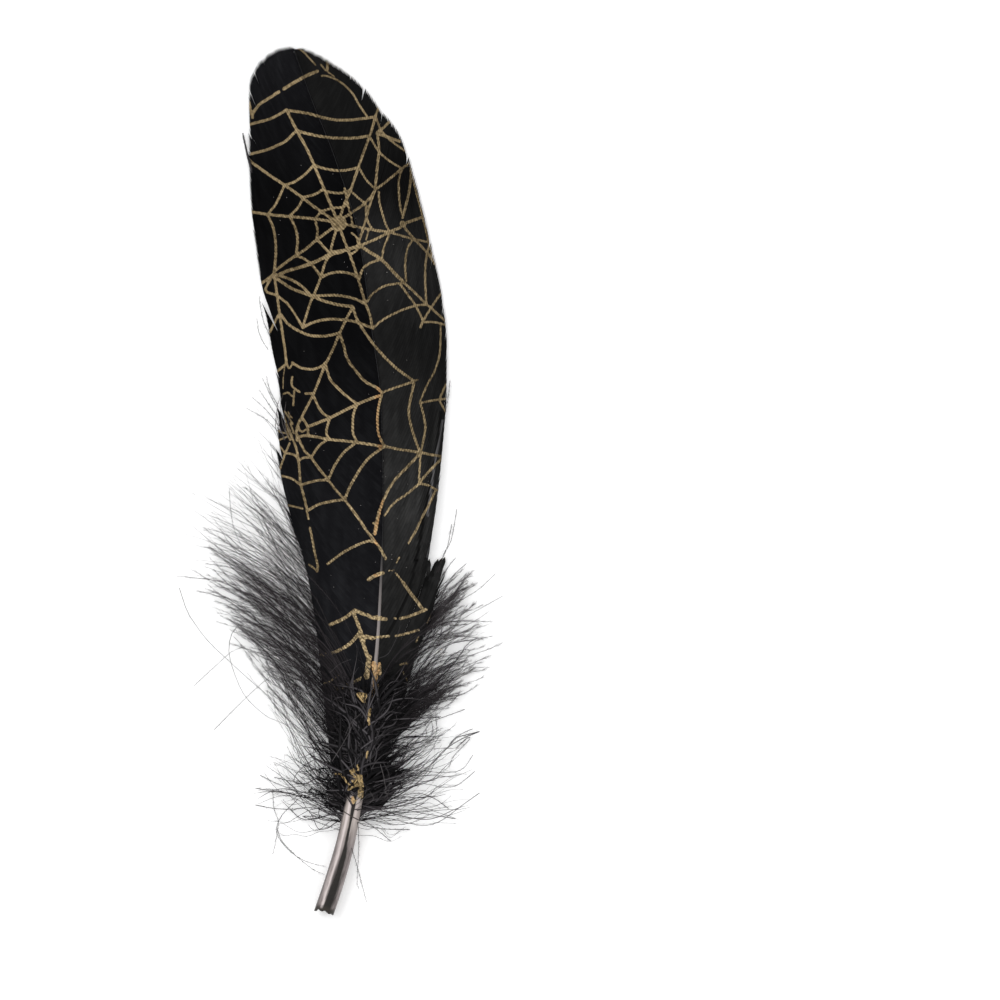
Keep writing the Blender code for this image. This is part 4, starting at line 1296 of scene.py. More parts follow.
def build_crown():
    """Strands over the shaft: thin dark ones that fill, and soft plumes on top with a painted highlight."""
    fill, rng = fan(
        CROWN_FILL,
        roots=(BARE_QUILL, -42.0),
        angles=(2, 84),
        lengths=(4, 13),
        away=-0.2,
        bend=-0.08,
        waves=(((0.2, 1.6), (0.5, 1.5)),),
        seed=17,
    )
    fill = lift_over(fill, rng.uniform(0.08, 0.8, len(fill)))
    soft, soft_rng = fan(
        CROWN_PLUMES,
        roots=(BARE_QUILL - 1.0, -46.0),
        angles=(-25, 75),
        lengths=(5, 16),
        away=-0.9,
        bend=-0.12,
        waves=(((0.4, 2.6), (0.4, 1.2)),),
        seed=43,
    )
    soft = lift_over(soft, soft_rng.uniform(0.7, 1.3, len(soft)))
    return (
        strand_tubes(fill, 0.06 + 0.09 * rng.random(len(fill)) ** 2, rng, dark=1.0),
        barbules(fill, 16500, 1.9, rng, first=0.05, width=0.045, dark=1.0, slant=0.6),
        plumes(soft, 0.09 + 0.30 * soft_rng.random(len(soft)) ** 1.4, soft_rng),
    )


def build_skirt():
    """Strands beside the quill: a short dense pad, and long thin curls that stand out of it."""
    pad, rng = fan(
        SKIRT_PAD,
        roots=(-63.8, BARE_QUILL + 2.0),
        angles=(4, 66),
        lengths=(2.0, 5.5),
        away=0.32,
        bend=-0.05,
        waves=(((0.1, 0.9), (0.5, 1.5)),),
        seed=47,
        right_reach=2.3,
    )
    curls, curl_rng = fan(
        SKIRT_CURLS,
        roots=(-65.5, BARE_QUILL),
        angles=(30, 92),
        lengths=(5, 18),
        away=0.36,
        bend=0.0,
        waves=(((0.4, 2.8), (0.4, 1.2)), ((0.03, 0.3), (1.5, 3.0))),
        seed=53,
    )
    return (
        plumes(pad, rng.uniform(0.12, 0.36, len(pad)), rng),
        barbules(pad, 5000, 1.6, rng, first=0.1, width=0.04, dark=1.0, slant=0.7),
        strand_tubes(curls, 0.035 + 0.09 * curl_rng.random(len(curls)) ** 2, curl_rng, dark=0.8),
        barbules(curls, 4000, 1.2, curl_rng, first=0.1, width=0.03, dark=0.8, slant=0.4),
    )


map_heights(shaft, BARE_QUILL)
crown_down = make_down("crown_down", *build_crown())
skirt_down = make_down("skirt_down", *build_skirt())

# %% [markdown]
# ## Dust
#
# A few pale grains lie on the black, where they show most. They are tiny closed tubes.

# %% Dust
GRAINS = 60
GRAIN_COURSE = np.array(((0, 0, 0), (0.05, 0.02, 0), (0.1, 0.04, 0)))
rng = np.random.default_rng(41)
grain_y = rng.uniform(-30.0, 60.0, GRAINS)
grain_x = shaft_at(grain_y)[0] + rng.uniform(-16.0, 9.0, GRAINS)
grain_line = np.stack((grain_x, grain_y, 0 * grain_x), axis=-1)[:, None] + GRAIN_COURSE
on_vane = (heights_at(grain_line, topside) > 0).all(axis=1)
grain_line[..., 2] = heights_at(grain_line, topside) + 0.03
grain_size = (0.03 + 0.05 * rng.random(GRAINS) ** 3)[:, None] * np.array((0.4, 1.0, 0.4))
dust = make_piece("dust", "feather", *as_tubes(sweep(grain_line[on_vane], grain_size[on_vane], 5)))

# %% [markdown]
# ## Hairs that have come loose
#
# Some strands stand apart from the rest, and a viewer knows a feather by them: long curls
# beside the down, loops at the quill, and wisps across the black, whose grey is lightened
# by painted sheen. Each one is listed by its radius, the height of its two ends, and the
# points it runs through.

# %% Loose hairs
STRAY_HAIRS = (
    (0.06, 0.3, 1.8, (-16.3, -56.4), (-13.6, -57.7), (-10.5, -58.9)),
    (0.06, 0.3, 1.4, (-17.2, -58.9), (-13.6, -59.4), (-9.7, -59.8)),
    (0.07, 0.3, 2.6, (-17.2, -62.1), (-13.6, -62.7), (-10.3, -62.8), (-6.0, -62.5), (-3.0, -63.7),
     (-0.5, -64.4)),
    (0.05, 0.4, 1.0, (-13.6, -56.8), (-10.9, -57.4), (-8.2, -57.7)),
    (0.06, 1.4, 2.2, (-9.1, -61.0), (-12.1, -64.0), (-13.1, -67.1), (-11.2, -70.1), (-8.5, -72.2),
     (-6.0, -73.2), (-3.6, -73.7)),
    (0.05, 0.9, 2.4, (-13.0, -66.5), (-12.1, -68.9), (-9.1, -71.9), (-6.0, -74.3), (-3.9, -75.2)),
    (0.05, 0.6, 0.3, (-13.9, -59.2), (-13.6, -62.8), (-12.8, -65.3), (-13.3, -68.9), (-13.9, -71.6)),
    (0.07, 0.8, 2.4, (-7.5, -58.0), (-9.7, -57.8), (-9.5, -56.4), (-8.5, -55.2), (-7.1, -54.0),
     (-4.9, -53.4), (-1.0, -55.3)),
    (0.06, 0.8, 2.4, (-8.8, -55.7), (-7.1, -55.6), (-4.9, -55.4), (-0.3, -59.1)),
    (0.11, 0.7, 2.4, (-9.7, -57.8), (-7.5, -58.0), (-4.9, -57.1), (0.1, -61.0)),
    (0.06, 0.8, 2.8, (-8.2, -64.2), (-5.1, -65.3), (-1.8, -66.5), (-0.3, -66.7)),
    (0.06, 0.8, 2.8, (-8.2, -64.2), (-5.4, -64.2), (-2.4, -64.6), (0.1, -65.2)),
    (0.05, 0.5, 2.8, (-10.5, -63.2), (-8.8, -62.7), (-6.3, -62.5), (-3.8, -63.0), (-0.1, -63.8)),
    (0.05, 0.3, 1.5, (-31.7, -20.7), (-30.3, -24.9), (-29.2, -26.8), (-26.5, -30.5), (-23.1, -33.8),
     (-16.8, -39.5), (-13.8, -42.0), (-2.9, -51.9)),
    (0.04, 0.3, 0.8, (-29.0, -39.5), (-25.1, -35.9), (-21.8, -33.0), (-18.9, -31.7)),
    (0.05, 0.6, 1.5, (-20.6, -28.0), (-21.8, -29.8), (-22.2, -33.0), (-21.0, -37.4), (-18.9, -41.6),
     (-14.8, -45.3), (-11.7, -46.5), (-8.6, -49.0), (-0.1, -57.2)),
    (0.05, 0.3, 1.2, (-25.1, -47.8), (-18.9, -41.6), (-14.4, -37.7), (-10.5, -35.9)),
    (0.04, 0.4, 0.9, (-22.2, -1.8), (-21.8, -6.4), (-21.0, -10.1), (-18.9, -14.2), (-16.8, -16.5)),
    (0.03, 0.3, 0.4, (-17.4, 58.7), (-18.1, 60.6), (-18.9, 62.9), (-19.5, 65.2)),
    (0.04, 0.3, 0.5, (19.9, 18.8), (19.6, 16.0), (19.1, 13.1), (18.7, 11.2)),
    (0.06, 0.3, 1.6, (22.7, -43.9), (17.3, -45.8), (13.7, -47.4), (10.4, -50.5)),
    (0.06, 0.3, 1.0, (24.2, -47.6), (22.7, -48.2), (20.5, -49.6), (19.1, -51.5), (15.2, -55.3),
     (11.3, -57.2)),
    (0.10, 0.4, 0.7, (25.5, -48.1), (23.5, -48.6), (21.1, -49.3), (19.4, -51.4)),
    (0.08, 0.4, 0.7, (23.7, -49.2), (22.9, -49.5), (21.1, -51.2)),
    (0.09, 0.4, 1.8, (25.5, -48.1), (22.1, -49.5), (18.8, -51.6), (15.2, -55.3), (8.5, -59.5)),
    (0.06, 0.3, 0.6, (23.7, -49.5), (20.6, -52.8), (19.7, -54.7), (18.1, -55.9)),
    (0.05, 0.3, 0.9, (24.3, -52.5), (22.1, -55.3), (18.2, -55.9), (13.2, -55.3)),
    (0.06, 0.3, 2.2, (24.6, -55.7), (21.2, -58.3), (18.2, -58.6), (15.2, -58.0), (7.5, -57.6)),
    (0.07, 0.3, 2.4, (19.6, -62.8), (16.7, -60.7), (13.4, -59.8), (6.6, -61.0)),
    (0.07, 0.3, 2.8, (25.5, -59.8), (22.5, -61.9), (18.2, -65.0), (14.9, -65.9), (11.6, -65.3),
     (3.1, -63.3)),
    (0.07, 0.3, 2.8, (20.9, -64.7), (15.2, -63.7), (10.6, -62.8), (2.8, -62.1)),
    (0.08, 0.3, 2.6, (12.2, -66.8), (7.9, -66.6), (3.7, -65.9), (1.2, -64.4)),
    (0.06, 0.3, 2.6, (8.6, -69.0), (6.1, -66.8), (4.3, -65.5), (1.6, -63.8)),
    (0.05, 2.8, 0.4, (1.2, -70.1), (2.2, -73.5), (4.0, -80.6)),
    (0.05, 2.8, 0.8, (2.0, -64.4), (2.5, -66.5), (2.5, -71.3), (2.2, -76.5), (2.5, -78.0)),
    (0.04, 0.3, 1.2, (28.6, -18.0), (25.2, -21.1), (20.8, -24.1), (15.1, -30.6)),
    (0.04, 0.3, 1.2, (29.9, -22.3), (26.3, -24.3), (21.8, -27.2), (15.1, -34.4)),
    (0.06, 0.5, 1.6, (23.0, -16.1), (20.2, -18.8), (17.8, -23.2), (16.4, -25.4), (12.6, -32.5)),
    (0.05, 0.3, 0.8, (21.2, -5.7), (20.1, -11.6), (18.8, -14.1), (16.8, -19.2)),
    (0.05, 0.3, 0.8, (20.2, -8.6), (19.5, -12.5), (18.7, -14.6), (17.2, -19.2)),
    (0.05, 0.3, 0.8, (21.0, -15.0), (19.7, -16.5), (18.3, -18.8), (16.4, -23.0)),
    (0.05, 1.6, 1.0, (-14.2, 26.8), (-15.5, 29.8), (-16.2, 32.9), (-16.4, 34.8)),
    (0.04, 1.6, 0.8, (-14.7, 24.5), (-16.3, 27.4), (-16.9, 30.6)),
    (0.05, 1.6, 0.7, (-11.9, 11.8), (-13.8, 15.0), (-15.9, 19.4)),
    (0.04, 1.6, 0.7, (-11.9, 10.3), (-14.2, 13.7), (-16.6, 17.1)),
    (0.04, 1.6, 0.7, (-11.7, 8.9), (-14.7, 12.7), (-17.8, 15.6)),
    (0.05, 1.6, 0.7, (-11.5, 7.4), (-14.7, 11.0), (-18.9, 13.5)),
    (0.04, 1.6, 0.7, (-12.6, 13.5), (-14.3, 16.7), (-15.1, 19.6)),
)
WISPS = (
    (0.06, 6.2, 6.6, (-2.4, -53.5), (-0.4, -50.2), (1.3, -47.1), (2.2, -44.2)),
    (0.05, 5.6, 6.6, (-0.5, -55.4), (1.3, -54.3), (3.5, -51.5)),
    (0.05, 5.6, 5.6, (3.7, -53.9), (5.2, -52.8), (6.9, -50.8), (9.8, -49.1), (13.2, -47.1)),
    (0.07, 5.2, 4.0, (6.7, -54.1), (7.3, -56.2), (7.7, -58.5), (8.1, -60.6)),
    (0.05, 4.9, 3.6, (7.3, -53.8), (8.3, -56.0), (8.3, -59.1), (7.3, -61.0)),
    (0.06, 4.4, 4.6, (4.7, -61.5), (5.4, -60.6), (5.1, -59.9), (4.7, -59.3)),
    (0.05, 6.7, 5.6, (6.4, -34.0), (8.3, -33.0), (10.0, -29.6), (10.5, -27.6)),
    (0.05, 5.2, 5.9, (-2.8, -36.7), (-1.0, -35.1), (1.3, -34.1)),
    (0.05, 6.0, 6.7, (0.1, -48.6), (1.2, -46.2), (3.1, -44.3), (3.9, -42.0)),
    (0.05, 5.9, 5.4, (5.0, -54.9), (6.6, -52.8), (8.8, -51.5), (11.1, -50.5)),
    (0.08, 2.0, 2.0, (-11.5, 7.4), (-12.6, 10.3), (-13.0, 13.1), (-12.4, 15.8)),
    (0.07, 2.0, 2.0, (-10.9, 7.8), (-11.9, 10.4), (-12.3, 14.1), (-11.9, 16.1)),
    (0.06, 2.0, 2.0, (-12.3, 8.9), (-13.1, 11.0), (-13.0, 13.5)),
    (0.07, 2.0, 2.0, (-11.3, 8.9), (-11.6, 11.6), (-11.3, 14.6)),
    (0.05, 2.0, 2.0, (-10.5, 8.2), (-10.9, 10.3), (-10.5, 12.7)),
    (0.06, 2.0, 2.0, (-12.6, 7.4), (-13.2, 9.7), (-13.3, 11.6)),
)
KNOTS = (
    (0.26, 0.5, 0.4, (-17.8, 58.3), (-18.3, 60.2), (-18.9, 62.7), (-19.6, 65.9)),
    (0.12, 2.9, 2.4, (-7.0, -59.3), (-6.2, -58.9), (-5.2, -59.3), (-4.1, -60.0)),
    (0.12, 2.6, 2.4, (-7.0, -59.3), (-6.0, -59.8), (-4.8, -60.0), (-3.7, -60.0)),
    (0.10, 3.3, 3.2, (-5.2, -55.3), (-4.1, -54.9), (-3.1, -55.9), (-3.9, -57.0), (-5.0, -56.6),
     (-4.7, -55.5)),
)
HAIR_STATIONS = 24
HAIR_HUMP = 0.6  # mm: how far the middle of a hair stands above the line between its ends


def hair_lines(rows):
    """The listed hairs as lines of equal numbers of points."""
    lines = []
    for _, low, high, *route in rows:
        plan = curve_through(route, 8)
        travelled = np.concatenate(([0], np.cumsum(np.linalg.norm(np.diff(plan, axis=0), axis=1))))
        share = np.linspace(0, 1, HAIR_STATIONS)
        at = share * travelled[-1]
        height = low + (high - low) * share + HAIR_HUMP * np.sin(math.pi * share)
        x, y = (np.interp(at, travelled, plan[:, axis]) for axis in (0, 1))
        lines.append(np.stack((x, y, height), axis=-1))
    return np.array(lines)


def build_hairs(rows, needles, length, seed, dark):
    """Single hairs with short barbules. A dark below 0 lifts them over what lies below."""
    rng = np.random.default_rng(seed)
    radius = np.array([row[0] for row in rows])
    lines = hair_lines(rows)
    lines[..., 2] = np.minimum(lines[..., 2], CEILING)
    if dark < 0:
        lines = lift_over(lines, radius)
    tubes = strand_tubes(lines, radius, rng, sides=4, dark=dark)
    return tubes, barbules(lines, needles, length, rng, first=0.0, dark=dark)


loose_hairs = make_down(
    "loose_hairs", *build_hairs(STRAY_HAIRS, needles=5200, length=1.2, seed=19, dark=0.3)
)
sheen_wisps = make_down(
    "sheen_wisps", *build_hairs(WISPS, needles=500, length=0.9, seed=23, dark=-1.0)
)
dark_knots = make_down(
    "dark_knots", *build_hairs(KNOTS, needles=1500, length=1.1, seed=29, dark=1.0)
)

# %% [markdown]
# ## Node groups
#
# An effect that several finishes share is a node group, built once here. A group's inputs
# are its controls, and each finish sets its own values. Groups give colours, masks and
# heights, and the shader itself stays in each material.

# %% Helpers for nodes


def feed(tree, node, inputs):
    """Sets inputs of a node, each to a value or to the socket that feeds it."""
    for key, value in inputs.items():
        if isinstance(value, bpy.types.NodeSocket):
            tree.links.new(value, node.inputs[key])
        else:
            node.inputs[key].default_value = value


def new_group(name, inputs, outputs):
    """A node group with named sockets, and its two end nodes."""
    group = bpy.data.node_groups.new(name, "ShaderNodeTree")
    for label, kind, value in inputs:
        socket = group.interface.new_socket(label, in_out="INPUT", socket_type=f"NodeSocket{kind}")
        if value is not None:
            socket.default_value = value
    for label, kind in outputs:
        group.interface.new_socket(label, in_out="OUTPUT", socket_type=f"NodeSocket{kind}")
    return group, group.nodes.new("NodeGroupInput"), group.nodes.new("NodeGroupOutput")


def add_node(tree, kind, inputs=None, **settings):
    """A node with its settings and its inputs."""
    node = tree.nodes.new(f"ShaderNode{kind}")
    for key, value in settings.items():
        setattr(node, key, value)
    feed(tree, node, inputs or {})
    return node


def place_group(tree, group, inputs):
    return add_node(tree, "Group", inputs, node_tree=group)


def mark(tree, name):
    """Reads a mark that the mesh carries."""
    return add_node(tree, "Attribute", attribute_name=name).outputs["Fac"]


def position(tree):
    return add_node(tree, "TexCoord").outputs["Object"]


def vector(tree, x, y, z=0.0):
    return add_node(tree, "CombineXYZ", {"X": x, "Y": y, "Z": z}).outputs[0]


def noise(tree, at, scale, detail=2.0, rough=0.5):
    values = {"Vector": at, "Scale": scale, "Detail": detail, "Roughness": rough}
    return add_node(tree, "TexNoise", values).outputs["Fac"]


print("helpers that make nodes are ready")

# %% [markdown]
# ## Sums and mixes
#
# Shader arithmetic reads best as short words, so each sum is a helper of one line. The
# helpers take values or sockets alike. A step is the most useful: it turns any measure
# into a soft edge between two levels.

# %% Helpers for sums


def calculate(tree, operation, a, b=0.5, clamp=False):
    return add_node(tree, "Math", {0: a, 1: b}, operation=operation, use_clamp=clamp).outputs[0]


def plus(tree, a, b, clamp=False):
    return calculate(tree, "ADD", a, b, clamp)


def minus(tree, a, b):
    return calculate(tree, "SUBTRACT", a, b)


def times(tree, a, b):
    return calculate(tree, "MULTIPLY", a, b)


def apart(tree, a, b):
    """How far apart two values are."""
    return calculate(tree, "ABSOLUTE", minus(tree, a, b))


def step(tree, at, low, high, out_low=0.0, out_high=1.0):
    """Goes smoothly from out_low to out_high as at goes from low to high."""
    values = {"Value": at, "From Min": low, "From Max": high, "To Min": out_low, "To Max": out_high}
    return add_node(tree, "MapRange", values, interpolation_type="SMOOTHSTEP").outputs["Result"]


MIX_SHARE, MIX_A, MIX_B, MIX_RESULT = 0, 6, 7, 2  # a mix node's sockets for colours


def blend(tree, share, a, b, mode="MIX"):
    """Mixes two colours."""
    values = {MIX_SHARE: share, MIX_A: a, MIX_B: b}
    return add_node(tree, "Mix", values, data_type="RGBA", blend_type=mode).outputs[MIX_RESULT]


def dim(tree, colour, level):
    """Darkens a colour to a level between 0 and 1."""
    grey = add_node(tree, "CombineColor", {0: level, 1: level, 2: level}).outputs[0]
    return blend(tree, 1.0, colour, grey, "MULTIPLY")


print("helpers for sums are ready")

# %% [markdown]
# ## Barb streaks
#
# Keratin barbs aren't one flat black. Each barb takes the light a little differently, and
# its colour changes slowly along it, so the noise is stretched along the barb: its vector
# is the distance run along the barb and a number that each barb has for itself.

# %% Group: barb streaks
barb_streaks, entry, leave = new_group(
    "barb streaks",
    (
        ("Dark", "Color", (0.004, 0.004, 0.005, 1)),
        ("Light", "Color", (0.02, 0.02, 0.02, 1)),
        ("Groove Shade", "Float", 0.4),
        ("Patchiness", "Float", 0.5),
    ),
    (("Color", "Color"), ("Roughness", "Float"), ("Height", "Float")),
)
tree = barb_streaks
run, barb, bundle = (mark(tree, name) for name in ("run", "barb", "bundle"))
slow_at = vector(tree, times(tree, run, 0.22), times(tree, barb, 0.7), times(tree, bundle, 25.0))
slow = noise(tree, slow_at, 1.0, 3.0, 0.6)
grain_at = vector(tree, times(tree, run, 5.0), times(tree, barb, 90.0))
grain = noise(tree, grain_at, 1.0, 1.0)

patches = times(tree, step(tree, slow, 0.35, 0.75), entry.outputs["Patchiness"])
lightness = plus(tree, patches, times(tree, minus(tree, grain, 0.5), 0.15), clamp=True)
streaked = blend(tree, lightness, entry.outputs["Dark"], entry.outputs["Light"])
# Painted shade: each barb is darker towards its edges, where the grooves between barbs lie in shade.
crest = calculate(tree, "ABSOLUTE", mark(tree, "ridge"))
shade = step(tree, crest, 0.0, 0.7, entry.outputs["Groove Shade"], 1.0)
rough = step(tree, slow, 0.2, 0.8, 0.62, 0.46)
feed(tree, leave, {"Color": dim(tree, streaked, shade), "Roughness": rough, "Height": grain})
print(tree.name, "has", len(tree.nodes), "nodes")

# %% [markdown]
# ## Printed gold
#
# The gold is a matt metal paint. Its edge follows the distance mark that each corner
# carries, with fine noise added because ink creeps along barbs. It sits on the ridges and
# is thinner in the grooves, and its colour wanders between ochre and pale gold. Down the
# sides of each barb it gets painted shade. The wear input rubs flakes of it off and gives
# others a painted glint, a painted highlight, as near the down.

# %% Group: printed gold
RUST_DEEP, RUST_PALE = (0.18, 0.085, 0.035, 1), (0.70, 0.41, 0.18, 1)
# The colour of a painted glint: a painted highlight on flakes of the gold.
PAINTED_GLINT = (0.95, 0.78, 0.48, 1)
printed_gold, entry, leave = new_group(
    "printed gold",
    (
        ("Inside", "Float", None),
        ("Ridge", "Float", None),
        ("Deep", "Color", (0.095, 0.068, 0.034, 1)),
        ("Pale", "Color", (0.43, 0.325, 0.18, 1)),
        ("Rust", "Float", -1.0),
        ("Creep", "Float", 0.16),
        ("Thin In Grooves", "Float", 0.03),
        ("Wear And Glint", "Float", 0.3),
    ),
    (("Mask", "Float"), ("Color", "Color"), ("Height", "Float"), ("Metal", "Float")),
)
tree = printed_gold
mottle = noise(tree, position(tree), 1700.0, 3.0, 0.65)
patch = noise(tree, position(tree), 110.0, 2.0, 0.5)
flake = noise(tree, position(tree), 2600.0, 2.0, 0.6)

# Where the gold is: inside the thread, and not rubbed off.
wander = times(tree, minus(tree, mottle, 0.5), entry.outputs["Creep"])
thinner = times(tree, minus(tree, entry.outputs["Ridge"], 0.6), entry.outputs["Thin In Grooves"])
edge = plus(tree, plus(tree, entry.outputs["Inside"], wander), thinner)
rubbed = times(tree, step(tree, flake, 0.50, 0.40), entry.outputs["Wear And Glint"])
mask = times(tree, step(tree, edge, -0.03, 0.05), minus(tree, 1.0, rubbed))

# Its colour: ochre to pale gold, rusty in places, with painted shade in the grooves and painted glints.
fine_share = step(tree, mottle, 0.34, 0.66, 0.0, 0.6)
wide_share = step(tree, patch, 0.3, 0.7, 0.0, 0.45)
pale_share = plus(tree, fine_share, wide_share, clamp=True)
gold = blend(tree, pale_share, entry.outputs["Deep"], entry.outputs["Pale"])
rusty = step(tree, entry.outputs["Rust"], -0.15, 0.2, 0.0, 0.7)
gold = blend(tree, rusty, gold, blend(tree, pale_share, RUST_DEEP, RUST_PALE))
# Painted shade: the gold is darker down the sides of each barb.
gold = dim(tree, gold, step(tree, entry.outputs["Ridge"], 0.1, 0.75, 0.5, 1.0))
# Painted glints, as many as the wear input asks for.
painted_glint = times(tree, step(tree, flake, 0.58, 0.72), entry.outputs["Wear And Glint"])
feed(
    tree,
    leave,
    {
        "Mask": mask,
        "Color": blend(tree, painted_glint, gold, PAINTED_GLINT),
        "Height": plus(tree, mask, times(tree, mottle, 0.3)),
        "Metal": times(tree, mask, 0.35),
    },
)
print(tree.name, "has", len(tree.nodes), "nodes")

# %% [markdown]
# ## Worn tips
#
# The last millimetres of a barb are thin, so light comes through and the black dye looks
# brown or green there. This group tints a colour by the distance to the barb's end.

# %% Group: thin ends
thin_ends, entry, leave = new_group(
    "thin ends",
    (
        ("Base", "Color", (0.01, 0.01, 0.01, 1)),
        ("Tint", "Color", (0.05, 0.05, 0.04, 1)),
        ("To End", "Float", None),
        ("Depth", "Float", 1.2),
    ),
    (("Color", "Color"),),
)
tree = thin_ends
from_end = calculate(tree, "DIVIDE", entry.outputs["To End"], entry.outputs["Depth"])
closeness = step(tree, from_end, 1.0, 0.0)
feed(tree, leave, {"Color": blend(tree, closeness, entry.outputs["Base"], entry.outputs["Tint"])})
print(tree.name, "has", len(tree.nodes), "nodes")

# %% [markdown]
# ## The vanes' finish
#
# Dyed keratin: nearly black above with a weak satin shine, greyer and shinier below, where
# the dye is thinner. Levels along each vane paint in sheen and shade: the right vane is
# painted lighter, as if lit more flatly, and browner low down, where its pleats get painted
# shade in their creases and a painted shine where they catch the light.

# %% Finish of the vanes
# Colours of the painted shade and the painted shine along the folds.
PAINTED_FOLD_SHADE = (0.002, 0.002, 0.002, 1)
PAINTED_FOLD_SHINE = (0.115, 0.112, 0.115, 1)
UNDERSIDE = (0.020, 0.020, 0.022, 1)
GOLD_ROUGH = 0.52
# Levels along the feather, each with its y. Above 1 they brighten.
# How worn the gold is along the feather: flakes rubbed off, and painted glints on others.
GOLD_WEAR_AND_GLINT = ((-60, 0.75), (-25, 0.6), (-5, 0.35), (15, 0.15), (80, 0.1))
GOLD_TONES = ((-60, 1.35), (-20, 1.12), (20, 0.95), (80, 0.88))
# Painted sheen and shade: levels for each vane that stand in for how the light falls along it.
LEFT_PAINTED_SHEEN_AND_SHADE = ((-50, 0.9), (-30, 0.95), (-5, 0.62), (30, 0.22), (52, 0.16), (66, 0.4), (80, 0.70))
RIGHT_PAINTED_SHEEN_AND_SHADE = (
    (-50, 0.42),
    (-22, 0.68),
    (-6, 1.3),
    (12, 0.72),
    (26, 0.38),
    (42, 0.78),
    (56, 0.13),
    (76, 0.28),
)


def new_finish(name):
    made = bpy.data.materials.new(name)
    made.use_nodes = True
    return made, made.node_tree, made.node_tree.nodes["Principled BSDF"]


def bump(tree, height, strength, depth):
    """The normal that makes a height look raised by depth metres."""
    values = {"Height": height, "Strength": strength, "Distance": depth}
    return add_node(tree, "Bump", values).outputs[0]


def tone_along(tree, stops):
    """A grey level that changes smoothly along the feather: stops of y in mm and level."""
    y = add_node(tree, "SeparateXYZ", {0: position(tree)}).outputs["Y"]
    low, high = stops[0][0], stops[-1][0]
    values = {"Value": y, "From Min": low * MM, "From Max": high * MM}
    ramp = add_node(tree, "ValToRGB", {"Fac": add_node(tree, "MapRange", values).outputs["Result"]})
    ramp.color_ramp.interpolation = "EASE"
    while len(ramp.color_ramp.elements) < len(stops):
        ramp.color_ramp.elements.new(0.5)
    for element, (at, level) in zip(ramp.color_ramp.elements, stops):
        element.position = (at - low) / (high - low)
        element.color = (level, level, level, 1)
    return ramp.outputs["Color"]


def vane_finish(name, dark, light, tip_tint, tip_depth, painted_sheen_and_shade, specular):
    made, tree, shader = new_finish(name)
    ridge = mark(tree, "ridge")
    looks = {"Dark": dark, "Light": light, "Groove Shade": 0.95, "Patchiness": 0.7}
    streaks = place_group(tree, barb_streaks, looks)
    # Painted sheen and shade along the vane.
    above = blend(tree, 1.0, streaks.outputs["Color"], tone_along(tree, painted_sheen_and_shade), "MULTIPLY")
    # Painted shade in the first creases, and a painted shine along the others.
    above = blend(tree, step(tree, mark(tree, "painted_crease_shade"), -0.12, 0.12, 0.0, 0.8), above, PAINTED_FOLD_SHADE)
    above = blend(tree, step(tree, mark(tree, "painted_shine"), -0.10, 0.10, 0.0, 0.9), above, PAINTED_FOLD_SHINE)
    black = blend(tree, step(tree, ridge, 0.0, -0.6), above, UNDERSIDE)
    looks = {"Base": black, "Tint": tip_tint, "To End": mark(tree, "to_end"), "Depth": tip_depth}
    ends = place_group(tree, thin_ends, looks)

    looks = {"Inside": mark(tree, "paint"), "Ridge": ridge, "Rust": mark(tree, "rust")}
    gold = place_group(tree, printed_gold, {**looks, "Wear And Glint": tone_along(tree, GOLD_WEAR_AND_GLINT)})
    toned = blend(tree, 1.0, gold.outputs["Color"], tone_along(tree, GOLD_TONES), "MULTIPLY")
    mask = gold.outputs["Mask"]
    rough = {0: mask, 2: streaks.outputs["Roughness"], 3: GOLD_ROUGH}
    height = plus(tree, times(tree, streaks.outputs["Height"], 0.5), gold.outputs["Height"])
    feed(
        tree,
        shader,
        {
            "Base Color": blend(tree, mask, ends.outputs["Color"], toned),
            "Roughness": add_node(tree, "Mix", rough, data_type="FLOAT").outputs[0],
            "Metallic": gold.outputs["Metal"],
            "Normal": bump(tree, height, 0.35, 0.00005),
            "Specular IOR Level": specular,
        },
    )
    return made


left_vane.data.materials.append(
    vane_finish(
        "left vane",
        dark=(0.008, 0.008, 0.0095, 1),
        light=(0.020, 0.0205, 0.023, 1),
        tip_tint=(0.020, 0.024, 0.022, 1),
        tip_depth=0.9,
        painted_sheen_and_shade=LEFT_PAINTED_SHEEN_AND_SHADE,
        specular=0.02,
    )
)
right_vane.data.materials.append(
    vane_finish(
        "right vane",
        dark=(0.0137, 0.0136, 0.0136, 1),
        light=(0.035, 0.0346, 0.0340, 1),
        tip_tint=(0.085, 0.060, 0.034, 1),
        tip_depth=0.45,
        painted_sheen_and_shade=RIGHT_PAINTED_SHEEN_AND_SHADE,
        specular=0.05,
    )
)
print("vanes finished")

# %% [markdown]
# ## The quill's finish
#
# Horn: glossy and a little see-through. The quill is pale mauve and paler towards the down,
# with a dark groove where its inside shows through, darkened more as a painted dark
# reflection: one table says where the groove runs across the quill and one how wide it is.
# A painted highlight runs left of the groove, and near the down a second one right of it.
# The left edge gets painted shade, and the bore is painted dark as shade in the hollow. The
# rachis is grey-mauve, and towards the tip it is dyed black. The mesh carries how far
# across and along the shaft each corner is, so bands follow it.

